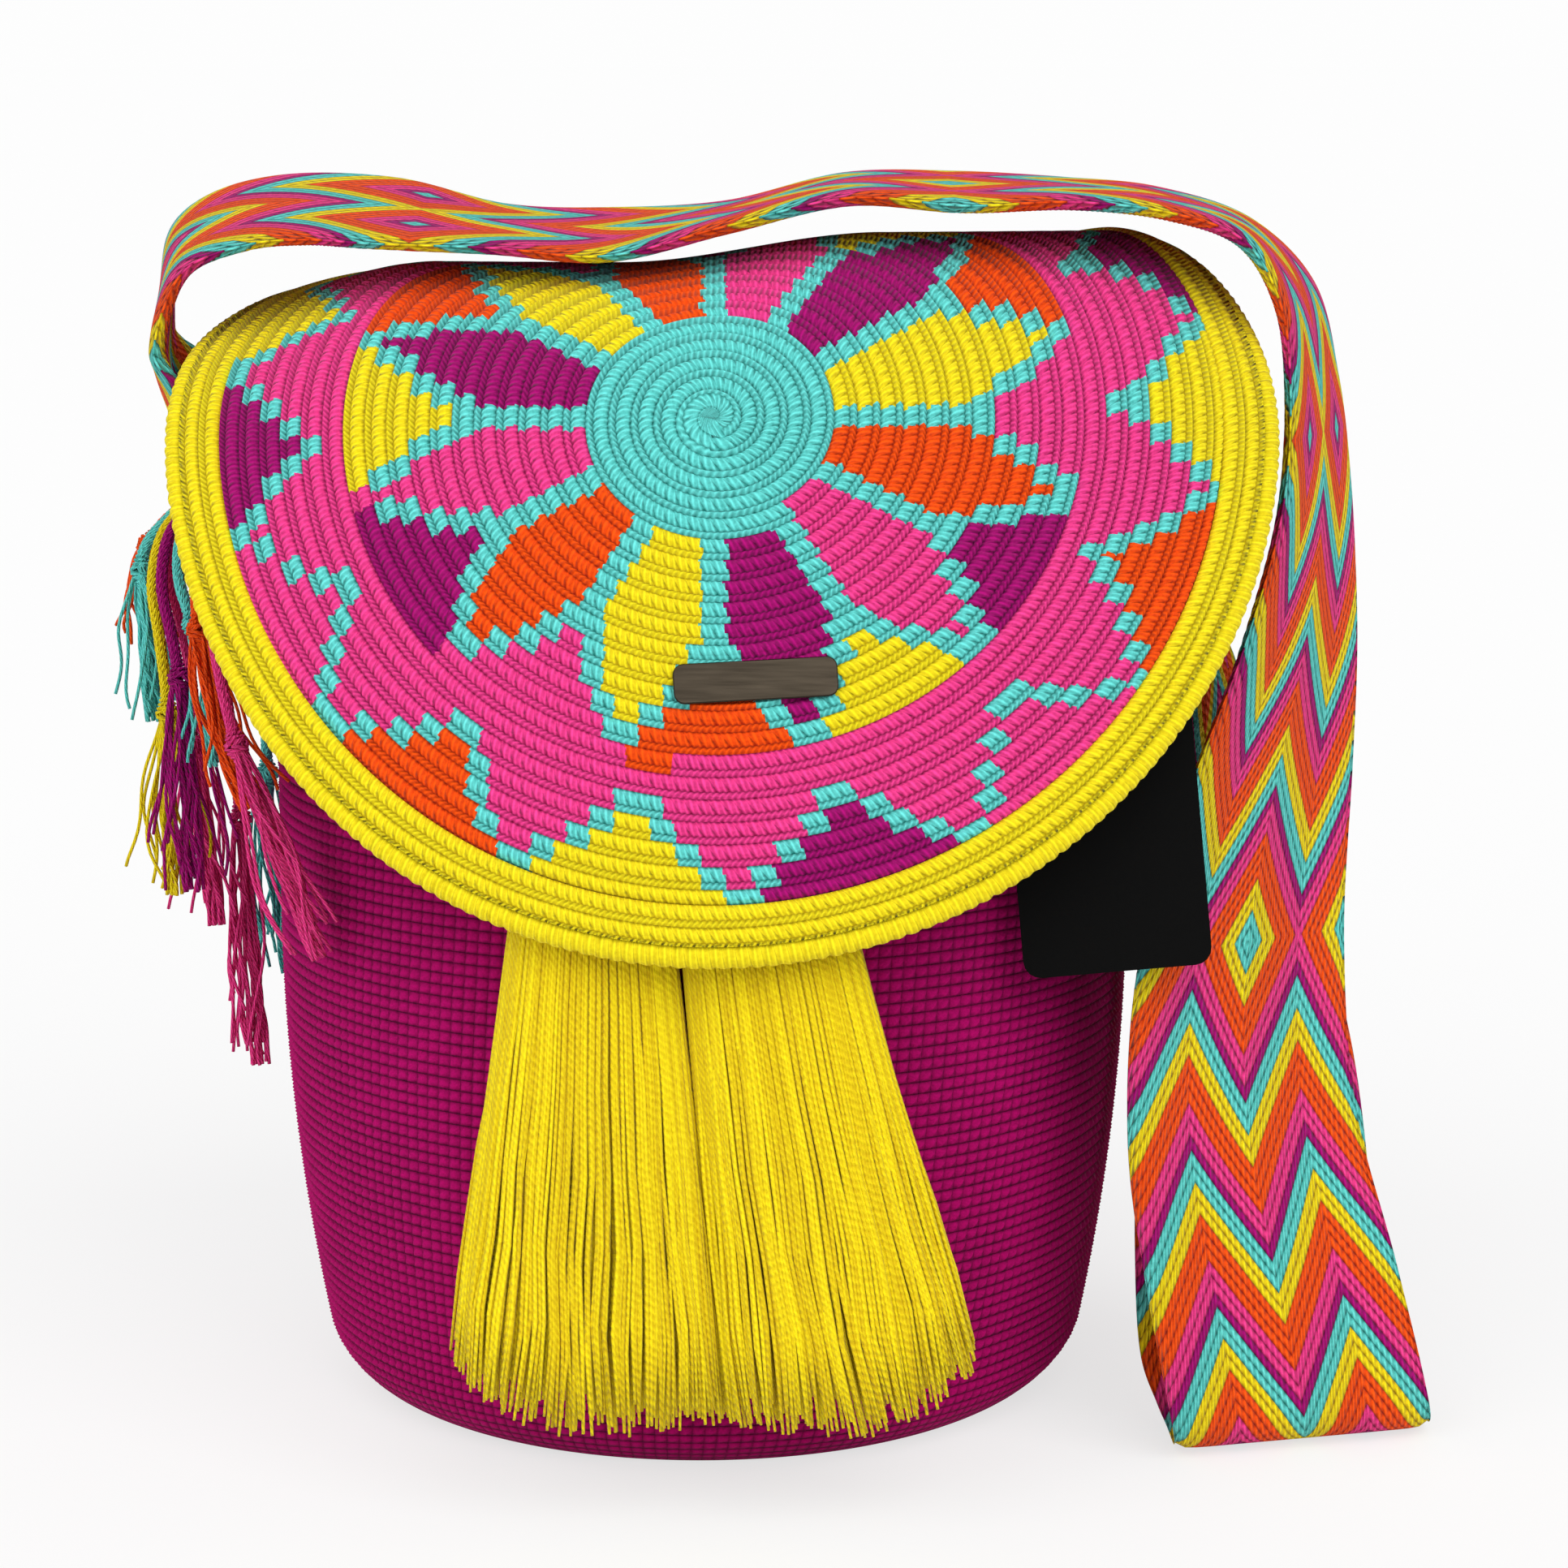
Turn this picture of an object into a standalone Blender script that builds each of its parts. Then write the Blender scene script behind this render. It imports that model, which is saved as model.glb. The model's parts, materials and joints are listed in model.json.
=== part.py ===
# Crocheted shoulder bag with a round flap, a laced mouth, two tassels and a plaited strap.
# Metres. +X is the wearer's right in front view, the front faces -Y, +Z is up.
# The origin is the centre of the flat base, on the surface that the bag stands on.
import math

import bmesh
import bpy
import numpy as np
from mathutils import Matrix

# Space left between pieces that touch
SEAT = 0.0003

# Bag body: a crocheted bucket whose mouth is drawn into an oval
BASE_RADIUS = 0.095
BASE_CORNER = 0.020
BELLY_RADIUS = 0.132
BELLY_HEIGHT = 0.150
SHOULDER_HEIGHT = 0.200
RIM_HEIGHT = 0.319
RIM_TILT = 0.10
MOUTH_LEFT = 0.158
MOUTH_RIGHT = 0.147
MOUTH_FRONT = 0.071
MOUTH_BACK = 0.062
MOUTH_SQUARENESS = 2.2
WALL = 0.004
FRONT_DENT = 0.006
DENT_HEIGHT = 0.175
DENT_SIZE = 0.060

# Gathers that the drawcord pulls into the mouth
GATHERS = 12
GATHER_DEPTH = 0.0028
GATHER_START = 0.255
LACE_HEIGHT = 0.300

# Drawcord, laced in and out through eyelets in every gather
DRAWCORD_DIAMETER = 0.005
EYELET_CLEARANCE = 0.0004
LACE_STEEPNESS = 2.2
DRAWCORD_LEAVES = 1.0
DRAWCORD_DROP = (0.294, 0.278, 0.255, 0.232)
STEPS_PER_GATHER = 6
LACE_REACH = GATHER_DEPTH - WALL / 2 + DRAWCORD_DIAMETER / 2

# Flap: a round mat of ridged rounds, draped over the mouth
ROUNDS = 25
BORDER_ROUNDS = 3
FLAP_LEFT_REACH = 0.1645
FLAP_RIGHT_REACH = 0.169
FLAP_FRONT_REACH = 0.1595
FLAP_BACK_REACH = 0.171
FLAP_CLOTH = 0.0045
RIDGE_HEIGHT = 0.0016
BORDER_SWELL = 0.0012
FLAP_SEGMENTS = 30
FLAP_CENTRE = (0.005, -0.0947, 0.3088)
FLAP_WRAP_RADIUS = 0.45
HEM_LEAN = 12.0
CENTRE_LEAN = 33.0
BACK_LEAN = 116.0
CREST_REACH = 0.083
EDGE_DROP = 0.016
RIGHT_RISE = 0.009

# Name plate on the flap, a plain pressed metal bar
PLATE_LENGTH = 0.046
PLATE_WIDTH = 0.0115
PLATE_THICKNESS = 0.0012
PLATE_CORNER = 0.003
PLATE_EDGE = 0.0003
PLATE_ACROSS = 0.012
PLATE_DOWN = 0.079
PLATE_TURN = 3.0

# Strap: one plaited band from the left end of the mouth, over the flap, down and back up
STRAP_WIDTH = 0.082
STRAP_THICKNESS = 0.0045
STRAP_STEPS = 54
STRAP_LANES = 6
STRAP_SEWN_REACH = 0.042

# Tassels, each a bundle of yarn bent over the drawcord's end and bound below it
TASSEL_TOP = 0.203
TASSEL_BOTTOM = 0.034
TASSEL_HEAD_RADIUS = 0.0062
TASSEL_NECK_RADIUS = 0.0052
TASSEL_NECK_HEIGHT = 0.193
TASSEL_SHOULDER = 0.020
TASSEL_HALF_WIDTH = {-1: 0.0205, 1: 0.0230}
TASSEL_SPREAD = {-1: 0.0176, 1: 0.0121}
TASSEL_HALF_DEPTH = 0.0078
TASSEL_FOOT_DEPTH = 0.0095
TASSEL_HEAD_X = {-1: -0.0290, 1: 0.0170}
TASSEL_FOOT_X = {-1: -0.0311, 1: 0.0439}
TASSEL_FOOT_RISE = 0.016
TASSEL_BACK = -0.1268
TASSEL_BACK_LOW = -0.1292
TASSEL_NECK_FORWARD = 0.0009
TASSEL_FLUTES = 12
TASSEL_FLUTE_DEPTH = 0.0011
TIE_THICKNESS = 0.0013
TIE_HEIGHT = 0.006

# Hang tag: a black card and a white card on one string
CARD_WIDTH = 0.0545
CARD_LENGTH = 0.090
CARD_THICKNESS = 0.0007
CARD_CORNER = 0.005
INNER_CARD_WIDTH = 0.044
INNER_CARD_LENGTH = 0.050
CARD_TOP = (0.1140, -0.0935, 0.2400)
CARD_TURN = 5.0
CARD_LEAN = 10.0
CARD_HOLE_DIAMETER = 0.004
CARD_HOLE_INSET = 0.006
STRING_DIAMETER = 0.0012
STRING_KNOT_DIAMETER = 0.0050
STRING_STARTS = (0.108, 0.268)

# Fringe: twisted cords that finish the strap's left end, each knotted with its ends loose
FRINGE_CORD_DIAMETER = 0.0036
FRINGE_KNOT_DIAMETER = 0.0078
FRINGE_BRUSH_DIAMETER = 0.0085
FRINGE_POINT_SPACING = 0.020

YARN = {
    "purple": ("8a034e", 0.85),
    "pink": ("ee4a90", 0.85),
    "orange": ("f54c0c", 0.85),
    "yellow": ("f0d815", 0.85),
    "turquoise": ("54c8c2", 0.85),
}


def linear(channel):
    return channel / 12.92 if channel <= 0.04045 else ((channel + 0.055) / 1.055) ** 2.4


def make_material(name, hex_colour, roughness, metallic=0.0):
    made = bpy.data.materials.new(name)
    made.use_nodes = True
    shader = made.node_tree.nodes["Principled BSDF"]
    channels = [linear(int(hex_colour[i:i + 2], 16) / 255) for i in (0, 2, 4)]
    shader.inputs["Base Color"].default_value = (*channels, 1.0)
    shader.inputs["Roughness"].default_value = roughness
    shader.inputs["Metallic"].default_value = metallic
    made.diffuse_color = (*channels, 1.0)
    return made


def ease(value, low, high):
    """Smooth step: 0 below low, 1 above high, with level ends."""
    t = np.clip((value - low) / (high - low), 0.0, 1.0)
    return t * t * (3.0 - 2.0 * t)


def smooth_curve(points, count):
    """Centripetal curve through the given points, read at equal spacing along its length."""
    points = np.asarray(points, float)
    padded = np.vstack([2 * points[0] - points[1], points, 2 * points[-1] - points[-2]])
    dense = []
    for before, start, end, after in zip(padded, padded[1:], padded[2:], padded[3:]):
        knots = np.cumsum([0.0] + [max(np.linalg.norm(q - p), 1e-9) ** 0.5
                                   for p, q in ((before, start), (start, end), (end, after))])
        t = np.linspace(knots[1], knots[2], 24, endpoint=False)[:, None]
        first = (before * (knots[1] - t) + start * (t - knots[0])) / (knots[1] - knots[0])
        second = (start * (knots[2] - t) + end * (t - knots[1])) / (knots[2] - knots[1])
        third = (end * (knots[3] - t) + after * (t - knots[2])) / (knots[3] - knots[2])
        left = (first * (knots[2] - t) + second * (t - knots[0])) / (knots[2] - knots[0])
        right = (second * (knots[3] - t) + third * (t - knots[1])) / (knots[3] - knots[1])
        dense.append((left * (knots[2] - t) + right * (t - knots[1])) / (knots[2] - knots[1]))
    dense = np.vstack(dense + [points[-1:]])
    return resample(dense, count)


def resample(points, count):
    """The same line read at equal spacing along its length."""
    travelled = np.concatenate([[0.0], np.cumsum(np.linalg.norm(np.diff(points, axis=0), axis=1))])
    wanted = np.linspace(0.0, travelled[-1], count)
    return np.column_stack([np.interp(wanted, travelled, points[:, i]) for i in range(points.shape[1])])


def length_of(points):
    return float(np.linalg.norm(np.diff(np.asarray(points), axis=0), axis=1).sum())


def keep(name, mesh, material):
    obj = bpy.data.objects.new(name, mesh)
    PARTS.objects.link(obj)
    obj.data.materials.clear()
    obj.data.materials.append(material)
    return obj


def finished_mesh(obj):
    """The object's evaluated mesh, welded, with the object itself removed."""
    bpy.context.view_layer.update()
    graph = bpy.context.evaluated_depsgraph_get()
    mesh = bpy.data.meshes.new_from_object(obj.evaluated_get(graph))
    work = bmesh.new()
    work.from_mesh(mesh)
    bmesh.ops.remove_doubles(work, verts=work.verts, dist=1e-6)
    work.to_mesh(mesh)
    work.free()
    bpy.data.objects.remove(obj)
    return mesh


def turned(profile, steps):
    """A closed shape turned about Z from a profile of (radius, height) that starts and ends on the axis."""
    mesh = bpy.data.meshes.new("profile")
    mesh.from_pydata([(r, 0.0, z) for r, z in profile], [(i, i + 1) for i in range(len(profile) - 1)], [])
    obj = bpy.data.objects.new("profile", mesh)
    PARTS.objects.link(obj)
    screw = obj.modifiers.new("turn", "SCREW")
    screw.steps = steps
    screw.render_steps = steps
    screw.use_merge_vertices = True
    screw.merge_threshold = 1e-5
    return finished_mesh(obj)


def reshape(mesh, place):
    """Moves every point of the mesh to place(points)."""
    points = np.empty(len(mesh.vertices) * 3)
    mesh.vertices.foreach_get("co", points)
    mesh.vertices.foreach_set("co", place(points.reshape(-1, 3)).ravel())
    mesh.update()
    return mesh


def shade(mesh, angle=40.0):
    mesh.shade_smooth()
    mesh.set_sharp_from_angle(angle=math.radians(angle))
    return mesh


def tube(name, points, diameter, material, swells=None):
    """A cord along the points, with its ends capped. swells scales the diameter at each point."""
    curve = bpy.data.curves.new(name, "CURVE")
    curve.dimensions = "3D"
    curve.bevel_depth = diameter / 2
    curve.bevel_resolution = 2
    curve.use_fill_caps = True
    spline = curve.splines.new("POLY")
    spline.points.add(len(points) - 1)
    for i, (at, point) in enumerate(zip(spline.points, points)):
        at.co = (*point, 1.0)
        at.radius = 1.0 if swells is None else swells[i]
    obj = bpy.data.objects.new(name, curve)
    PARTS.objects.link(obj)
    curve.materials.append(material)
    return obj


# Bag body


def belly_radius(z):
    """Radius of the round part: a quarter-round corner, then a parabola out to the belly."""
    z = np.clip(z, 0.0, None)
    in_corner = np.clip(1.0 - z / BASE_CORNER, 0.0, 1.0)
    corner = BASE_CORNER * np.sqrt(1.0 - in_corner ** 2)
    rise = 1.0 - np.clip(1.0 - z / BELLY_HEIGHT, 0.0, 1.0) ** 2
    return BASE_RADIUS + corner + (BELLY_RADIUS - BASE_RADIUS - BASE_CORNER) * rise


def shoulder(z, power=1.15):
    """0 up to the shoulder, 1 at the rim."""
    return np.clip((z - SHOULDER_HEIGHT) / (RIM_HEIGHT - SHOULDER_HEIGHT), 0.0, 1.2) ** power


def section(z):
    """Centre x and y, half width, half depth and squareness of the outer section at height z."""
    round_part = belly_radius(z)
    bend = shoulder(z)
    left = round_part + (MOUTH_LEFT - BELLY_RADIUS) * bend
    right = round_part + (MOUTH_RIGHT - BELLY_RADIUS) * bend
    front = round_part + (MOUTH_FRONT - BELLY_RADIUS) * bend
    back = round_part + (MOUTH_BACK - BELLY_RADIUS) * bend
    power = 2.0 + (MOUTH_SQUARENESS - 2.0) * bend
    return (right - left) / 2, (back - front) / 2, (left + right) / 2, (front + back) / 2, power


def mouth_turn(phi):
    """Turns an even angle into the angle that gives even steps along the oval mouth."""
    fine = np.linspace(-math.pi, math.pi, 1441)
    _, _, wide, deep, power = section(np.array(RIM_HEIGHT))
    x = wide * np.sign(np.cos(fine)) * np.abs(np.cos(fine)) ** (2 / power)
    y = deep * np.sign(np.sin(fine)) * np.abs(np.sin(fine)) ** (2 / power)
    travelled = np.concatenate([[0.0], np.cumsum(np.hypot(np.diff(x), np.diff(y)))])
    turned_by = np.interp(np.mod(phi + math.pi, 2 * math.pi) / (2 * math.pi) * travelled[-1], travelled, fine)
    return turned_by


def gather(phi, z):
    """How far the gathers push the wall out at angle phi and height z."""
    return GATHER_DEPTH * ease(z, GATHER_START, LACE_HEIGHT - 0.004) * np.cos(GATHERS * phi)


def bag_point(phi, z, out):
    """Point at angle phi and height z, a distance out from the bag's outer face, gathers left aside."""
    centre_x, centre_y, wide, deep, power = section(z)
    blend = ease(z, SHOULDER_HEIGHT, GATHER_START)
    even = np.mod(phi + math.pi, 2 * math.pi) - math.pi
    bend = np.mod(mouth_turn(phi) - even + math.pi, 2 * math.pi) - math.pi
    angle = even + blend * bend
    x = centre_x + (wide + out) * np.sign(np.cos(angle)) * np.abs(np.cos(angle)) ** (2 / power)
    y = centre_y + (deep + out) * np.sign(np.sin(angle)) * np.abs(np.sin(angle)) ** (2 / power)
    facing_front = np.clip(-np.sin(angle), 0.0, 1.0)
    dent = FRONT_DENT * facing_front ** 3 * np.exp(-((z - DENT_HEIGHT) / DENT_SIZE) ** 2)
    tilt = RIM_TILT * (y - centre_y) * ease(z, SHOULDER_HEIGHT, RIM_HEIGHT)
    return np.column_stack([x, y + dent, z + tilt])


def shape_bag(points):
    """Carries the turned bucket onto the bag's true sections."""
    radius = np.hypot(points[:, 0], points[:, 1])
    phi = np.arctan2(points[:, 1], points[:, 0])
    z = points[:, 2]
    wall = z > BASE_CORNER
    depth = np.where(wall, radius - belly_radius(z), 0.0)
    shaped = bag_point(phi, z, depth + gather(phi, z))
    flat = points.copy()
    return np.where(wall[:, None], shaped, flat)


def bucket_profile():
    """Up the inside, over the rim and down the outside."""
    inner_corner = BASE_CORNER - WALL
    outer_heights = [0.308, 0.297, 0.282, 0.262, 0.236, 0.205, 0.155, 0.100, 0.055]
    inner_heights = [0.110, 0.200, 0.255, 0.300]
    floor = [(0.0, WALL)] + [(BASE_RADIUS + inner_corner * math.sin(a), WALL + inner_corner * (1 - math.cos(a)))
                             for a in np.radians((0, 45, 85))]
    inner = [(float(belly_radius(z)) - WALL, z) for z in inner_heights]
    outer = [(float(belly_radius(z)), z) for z in outer_heights]
    top = float(belly_radius(RIM_HEIGHT))
    rim = [(top - WALL, RIM_HEIGHT - 0.0015), (top - WALL * 0.7, RIM_HEIGHT),
           (top - WALL * 0.3, RIM_HEIGHT), (top, RIM_HEIGHT - 0.0015)]
    corner = [(BASE_RADIUS + BASE_CORNER * math.sin(a), BASE_CORNER * (1 - math.cos(a)))
              for a in np.radians((90, 50, 0))]
    return floor + inner + rim + outer + corner + [(0.0, 0.0)]


def lace_point(phi):
    """The drawcord's centre at angle phi: outside the wall where a gather goes in, inside where it goes out."""
    swing = np.tanh(LACE_STEEPNESS * np.cos(GATHERS * phi)) / math.tanh(LACE_STEEPNESS)
    return bag_point(phi, np.full(np.shape(phi), LACE_HEIGHT), -WALL / 2 - GATHER_DEPTH * swing)


def mouth_angle(x, z):
    """The angle, near the front, at which the bag's face at height z has this x."""
    fine = np.linspace(-math.pi / 2 - 1.2, -math.pi / 2 + 1.2, 241)
    return np.interp([x], bag_point(fine, np.full(len(fine), z), 0.0)[:, 0], fine)


def drawcord_route():
    """From the left tassel up the front, round the mouth, and down to the right tassel."""
    front = -math.pi / 2
    spread = DRAWCORD_LEAVES * math.pi / GATHERS
    steps = GATHERS * STEPS_PER_GATHER - 9
    phi = np.linspace(front - spread, front + spread - 2 * math.pi, steps)
    loop = lace_point(phi)

    def hanging(side, top):
        head_y = tassel_section(np.array([TASSEL_TOP]), side)[1][0]
        spots = []
        for z in DRAWCORD_DROP:
            lean = ease(z, TASSEL_TOP, LACE_HEIGHT - 0.01)
            x = TASSEL_HEAD_X[side] * (1 - lean) + top[0] * lean
            clear = DRAWCORD_DIAMETER / 2 + SEAT + GATHER_DEPTH * ease(-z, -LACE_HEIGHT, -GATHER_START)
            face = bag_point(mouth_angle(x, z), np.array([z]), clear)[0]
            spots.append((x, min(face[1], top[1] - 0.001), z))
        spots.append((TASSEL_HEAD_X[side], head_y, TASSEL_TOP + 0.008))
        line = smooth_curve([tuple(top)] + spots, 9)[1:]
        return np.vstack([line, [(TASSEL_HEAD_X[side], head_y, TASSEL_TOP + SEAT)]])

    return np.vstack([hanging(-1, loop[0])[::-1], loop, hanging(1, loop[-1])])


# Tassels


def tassel_section(z, side):
    """Centre and half sizes of a tassel at height z: head, bound neck, round shoulders, spread foot."""
    top = TASSEL_NECK_HEIGHT - TIE_HEIGHT / 2
    down = np.clip((top - z) / (top - TASSEL_BOTTOM), 0.0, 1.0)
    shoulders = np.sqrt(1 - np.clip(1 - (top - z) / TASSEL_SHOULDER, 0.0, 1.0) ** 2)
    shoulders = np.where(z > top, 0.0, shoulders)
    head = ease(z, TASSEL_NECK_HEIGHT + TIE_HEIGHT / 2, TASSEL_NECK_HEIGHT + TIE_HEIGHT / 2 + 0.004)
    neck = TASSEL_NECK_RADIUS + (TASSEL_HEAD_RADIUS - TASSEL_NECK_RADIUS) * head
    half_width = (neck + (TASSEL_HALF_WIDTH[side] - TASSEL_NECK_RADIUS) * shoulders
                  + TASSEL_SPREAD[side] * down ** 0.85)
    half_depth = neck + (TASSEL_HALF_DEPTH - TASSEL_NECK_RADIUS) * shoulders + TASSEL_FOOT_DEPTH * down
    centre_x = TASSEL_HEAD_X[side] + (TASSEL_FOOT_X[side] - TASSEL_HEAD_X[side]) * down
    back = (TASSEL_BACK + (TASSEL_BACK_LOW - TASSEL_BACK) * ease(-z, -0.185, -0.125)
            - TASSEL_NECK_FORWARD * ease(z, top - 0.006, top))
    return centre_x, back - half_depth, half_width, half_depth


def on_tassel(side, fluted):
    """Carries a turned shape of radius 1, plus real distances beyond it, onto a tassel's sections."""

    def place(points):
        radius = np.hypot(points[:, 0], points[:, 1])
        phi = np.arctan2(points[:, 1], points[:, 0])
        x, y, half_width, half_depth = tassel_section(points[:, 2], side)
        share = np.minimum(radius, 1.0)
        beyond = np.maximum(radius - 1.0, 0.0)
        flute = 0.0
        if fluted:
            grown = ease(-points[:, 2], -TASSEL_NECK_HEIGHT, -TASSEL_NECK_HEIGHT + TASSEL_SHOULDER)
            flute = TASSEL_FLUTE_DEPTH * (np.cos(TASSEL_FLUTES * phi) - 1) * grown
        across = ((half_width + flute) * share + beyond) * np.cos(phi)
        along = ((half_depth + flute) * share + beyond) * np.sin(phi)
        outward = np.clip(side * across / half_width, 0.0, 1.0)
        rise = TASSEL_FOOT_RISE * outward ** 2 * ease(-points[:, 2], -0.150, -TASSEL_BOTTOM)
        return np.column_stack([x + across, y + along, points[:, 2] + rise])

    return place


def make_tassel(side):
    name = "left" if side < 0 else "right"
    top = TASSEL_NECK_HEIGHT - TIE_HEIGHT / 2
    heights = [TASSEL_TOP - 0.0035, top + TIE_HEIGHT, top, top - 0.001, top - 0.004,
               top - 0.010, top - TASSEL_SHOULDER, 0.140, 0.105, 0.070, TASSEL_BOTTOM]
    crown = [(0.0, TASSEL_TOP), (0.35, TASSEL_TOP - 0.0004), (0.75, TASSEL_TOP - 0.0014)]
    profile = crown + [(1.0, z) for z in heights] + [(0.0, TASSEL_BOTTOM)]
    mesh = reshape(turned(profile, TASSEL_FLUTES * 2), on_tassel(side, True))
    keep(f"tassel_{name}", shade(mesh), MATERIALS["yellow"])

    low = top + SEAT
    high = top + TIE_HEIGHT - SEAT
    inside = 1 + SEAT
    ring = [(inside, high), (inside + TIE_THICKNESS, high - 0.001),
            (inside + TIE_THICKNESS, low + 0.001), (inside, low), (inside, high)]
    mesh = reshape(turned(ring, 20), on_tassel(side, False))
    keep(f"tassel_tie_{name}", shade(mesh), MATERIALS["yellow"])


# Flap


def flap_spine(v):
    """Front-to-back line of the flap at arc length v from the centre of its rounds.

    Its lean from upright goes evenly from the hem to the centre, on to level at the crest, and down behind.
    """
    fine = np.linspace(-FLAP_FRONT_REACH - 0.01, FLAP_BACK_REACH + 0.01, 700)
    lean = np.interp(fine, [-FLAP_FRONT_REACH, 0.0, CREST_REACH, FLAP_BACK_REACH],
                     [HEM_LEAN, CENTRE_LEAN, 90.0, BACK_LEAN])
    step = fine[1] - fine[0]
    y = np.cumsum(np.sin(np.radians(lean))) * step
    z = np.cumsum(np.cos(np.radians(lean))) * step
    y += FLAP_CENTRE[1] - np.interp(0.0, fine, y)
    z += FLAP_CENTRE[2] - np.interp(0.0, fine, z)
    return np.interp(v, fine, y), np.interp(v, fine, z)


def flap_point(u, v):
    """Point of the draped flap, u to the right and v up from the centre of its rounds."""
    y, z = flap_spine(v)
    turn = u / FLAP_WRAP_RADIUS
    x = FLAP_CENTRE[0] + FLAP_WRAP_RADIUS * np.sin(turn)
    y = y + FLAP_WRAP_RADIUS * (1 - np.cos(turn))
    over_top = ease(v, -0.03, 0.07)
    z = z - EDGE_DROP * over_top * ease(-u, 0.085, FLAP_LEFT_REACH)
    z = z - EDGE_DROP * over_top * ease(u, 0.120, FLAP_RIGHT_REACH)
    z = z + RIGHT_RISE * ease(v, 0.0, CREST_REACH) * ease(-v, -FLAP_BACK_REACH, -0.1) * ease(u, -0.03, 0.05)
    return np.column_stack([x, y, z])


def flap_frame(u, v):
    """Point, unit vectors right and up the cloth, and outward normal of the draped flap."""
    step = 1e-4
    point = flap_point(u, v)
    right = flap_point(u + step, v) - flap_point(u - step, v)
    upward = flap_point(u, v + step) - flap_point(u, v - step)
    right /= np.linalg.norm(right, axis=1)[:, None]
    outward = np.cross(right, upward)
    outward /= np.linalg.norm(outward, axis=1)[:, None]
    upward = np.cross(outward, right)
    return point, right, upward, outward


def drape(points):
    """Carries the flat round mat, in units of its radius, onto the draped surface."""
    reach = np.where(points[:, 1] < 0, FLAP_FRONT_REACH, FLAP_BACK_REACH)
    side = np.where(points[:, 0] < 0, FLAP_LEFT_REACH, FLAP_RIGHT_REACH)
    point, _, _, outward = flap_frame(points[:, 0] * side, points[:, 1] * reach)
    return point + outward * points[:, 2:3]


def mat_profile():
    """Half section of the mat: ridged rounds on top, a rounded border, a plain underside."""
    half = FLAP_CLOTH / 2
    underside = [(0.0, -half)] + [(r, -half) for r in (0.30, 0.60, 0.84)]
    border = 1.0 - BORDER_ROUNDS / ROUNDS
    hem = [(border + 0.01, -half - BORDER_SWELL), (0.985, -half - BORDER_SWELL * 0.6),
           (1.0, -half * 0.3), (1.0, half * 0.9)]
    top = []
    for i in range(ROUNDS, 0, -1):
        swell = BORDER_SWELL if i > ROUNDS - BORDER_ROUNDS else 0.0
        top.append(((i - 0.45) / ROUNDS, half + RIDGE_HEIGHT + swell))
        top.append(((i - 1.0) / ROUNDS, half + swell if i > 1 else half + RIDGE_HEIGHT / 2))
    return (underside + hem + top)[::-1]


# Strap


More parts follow.
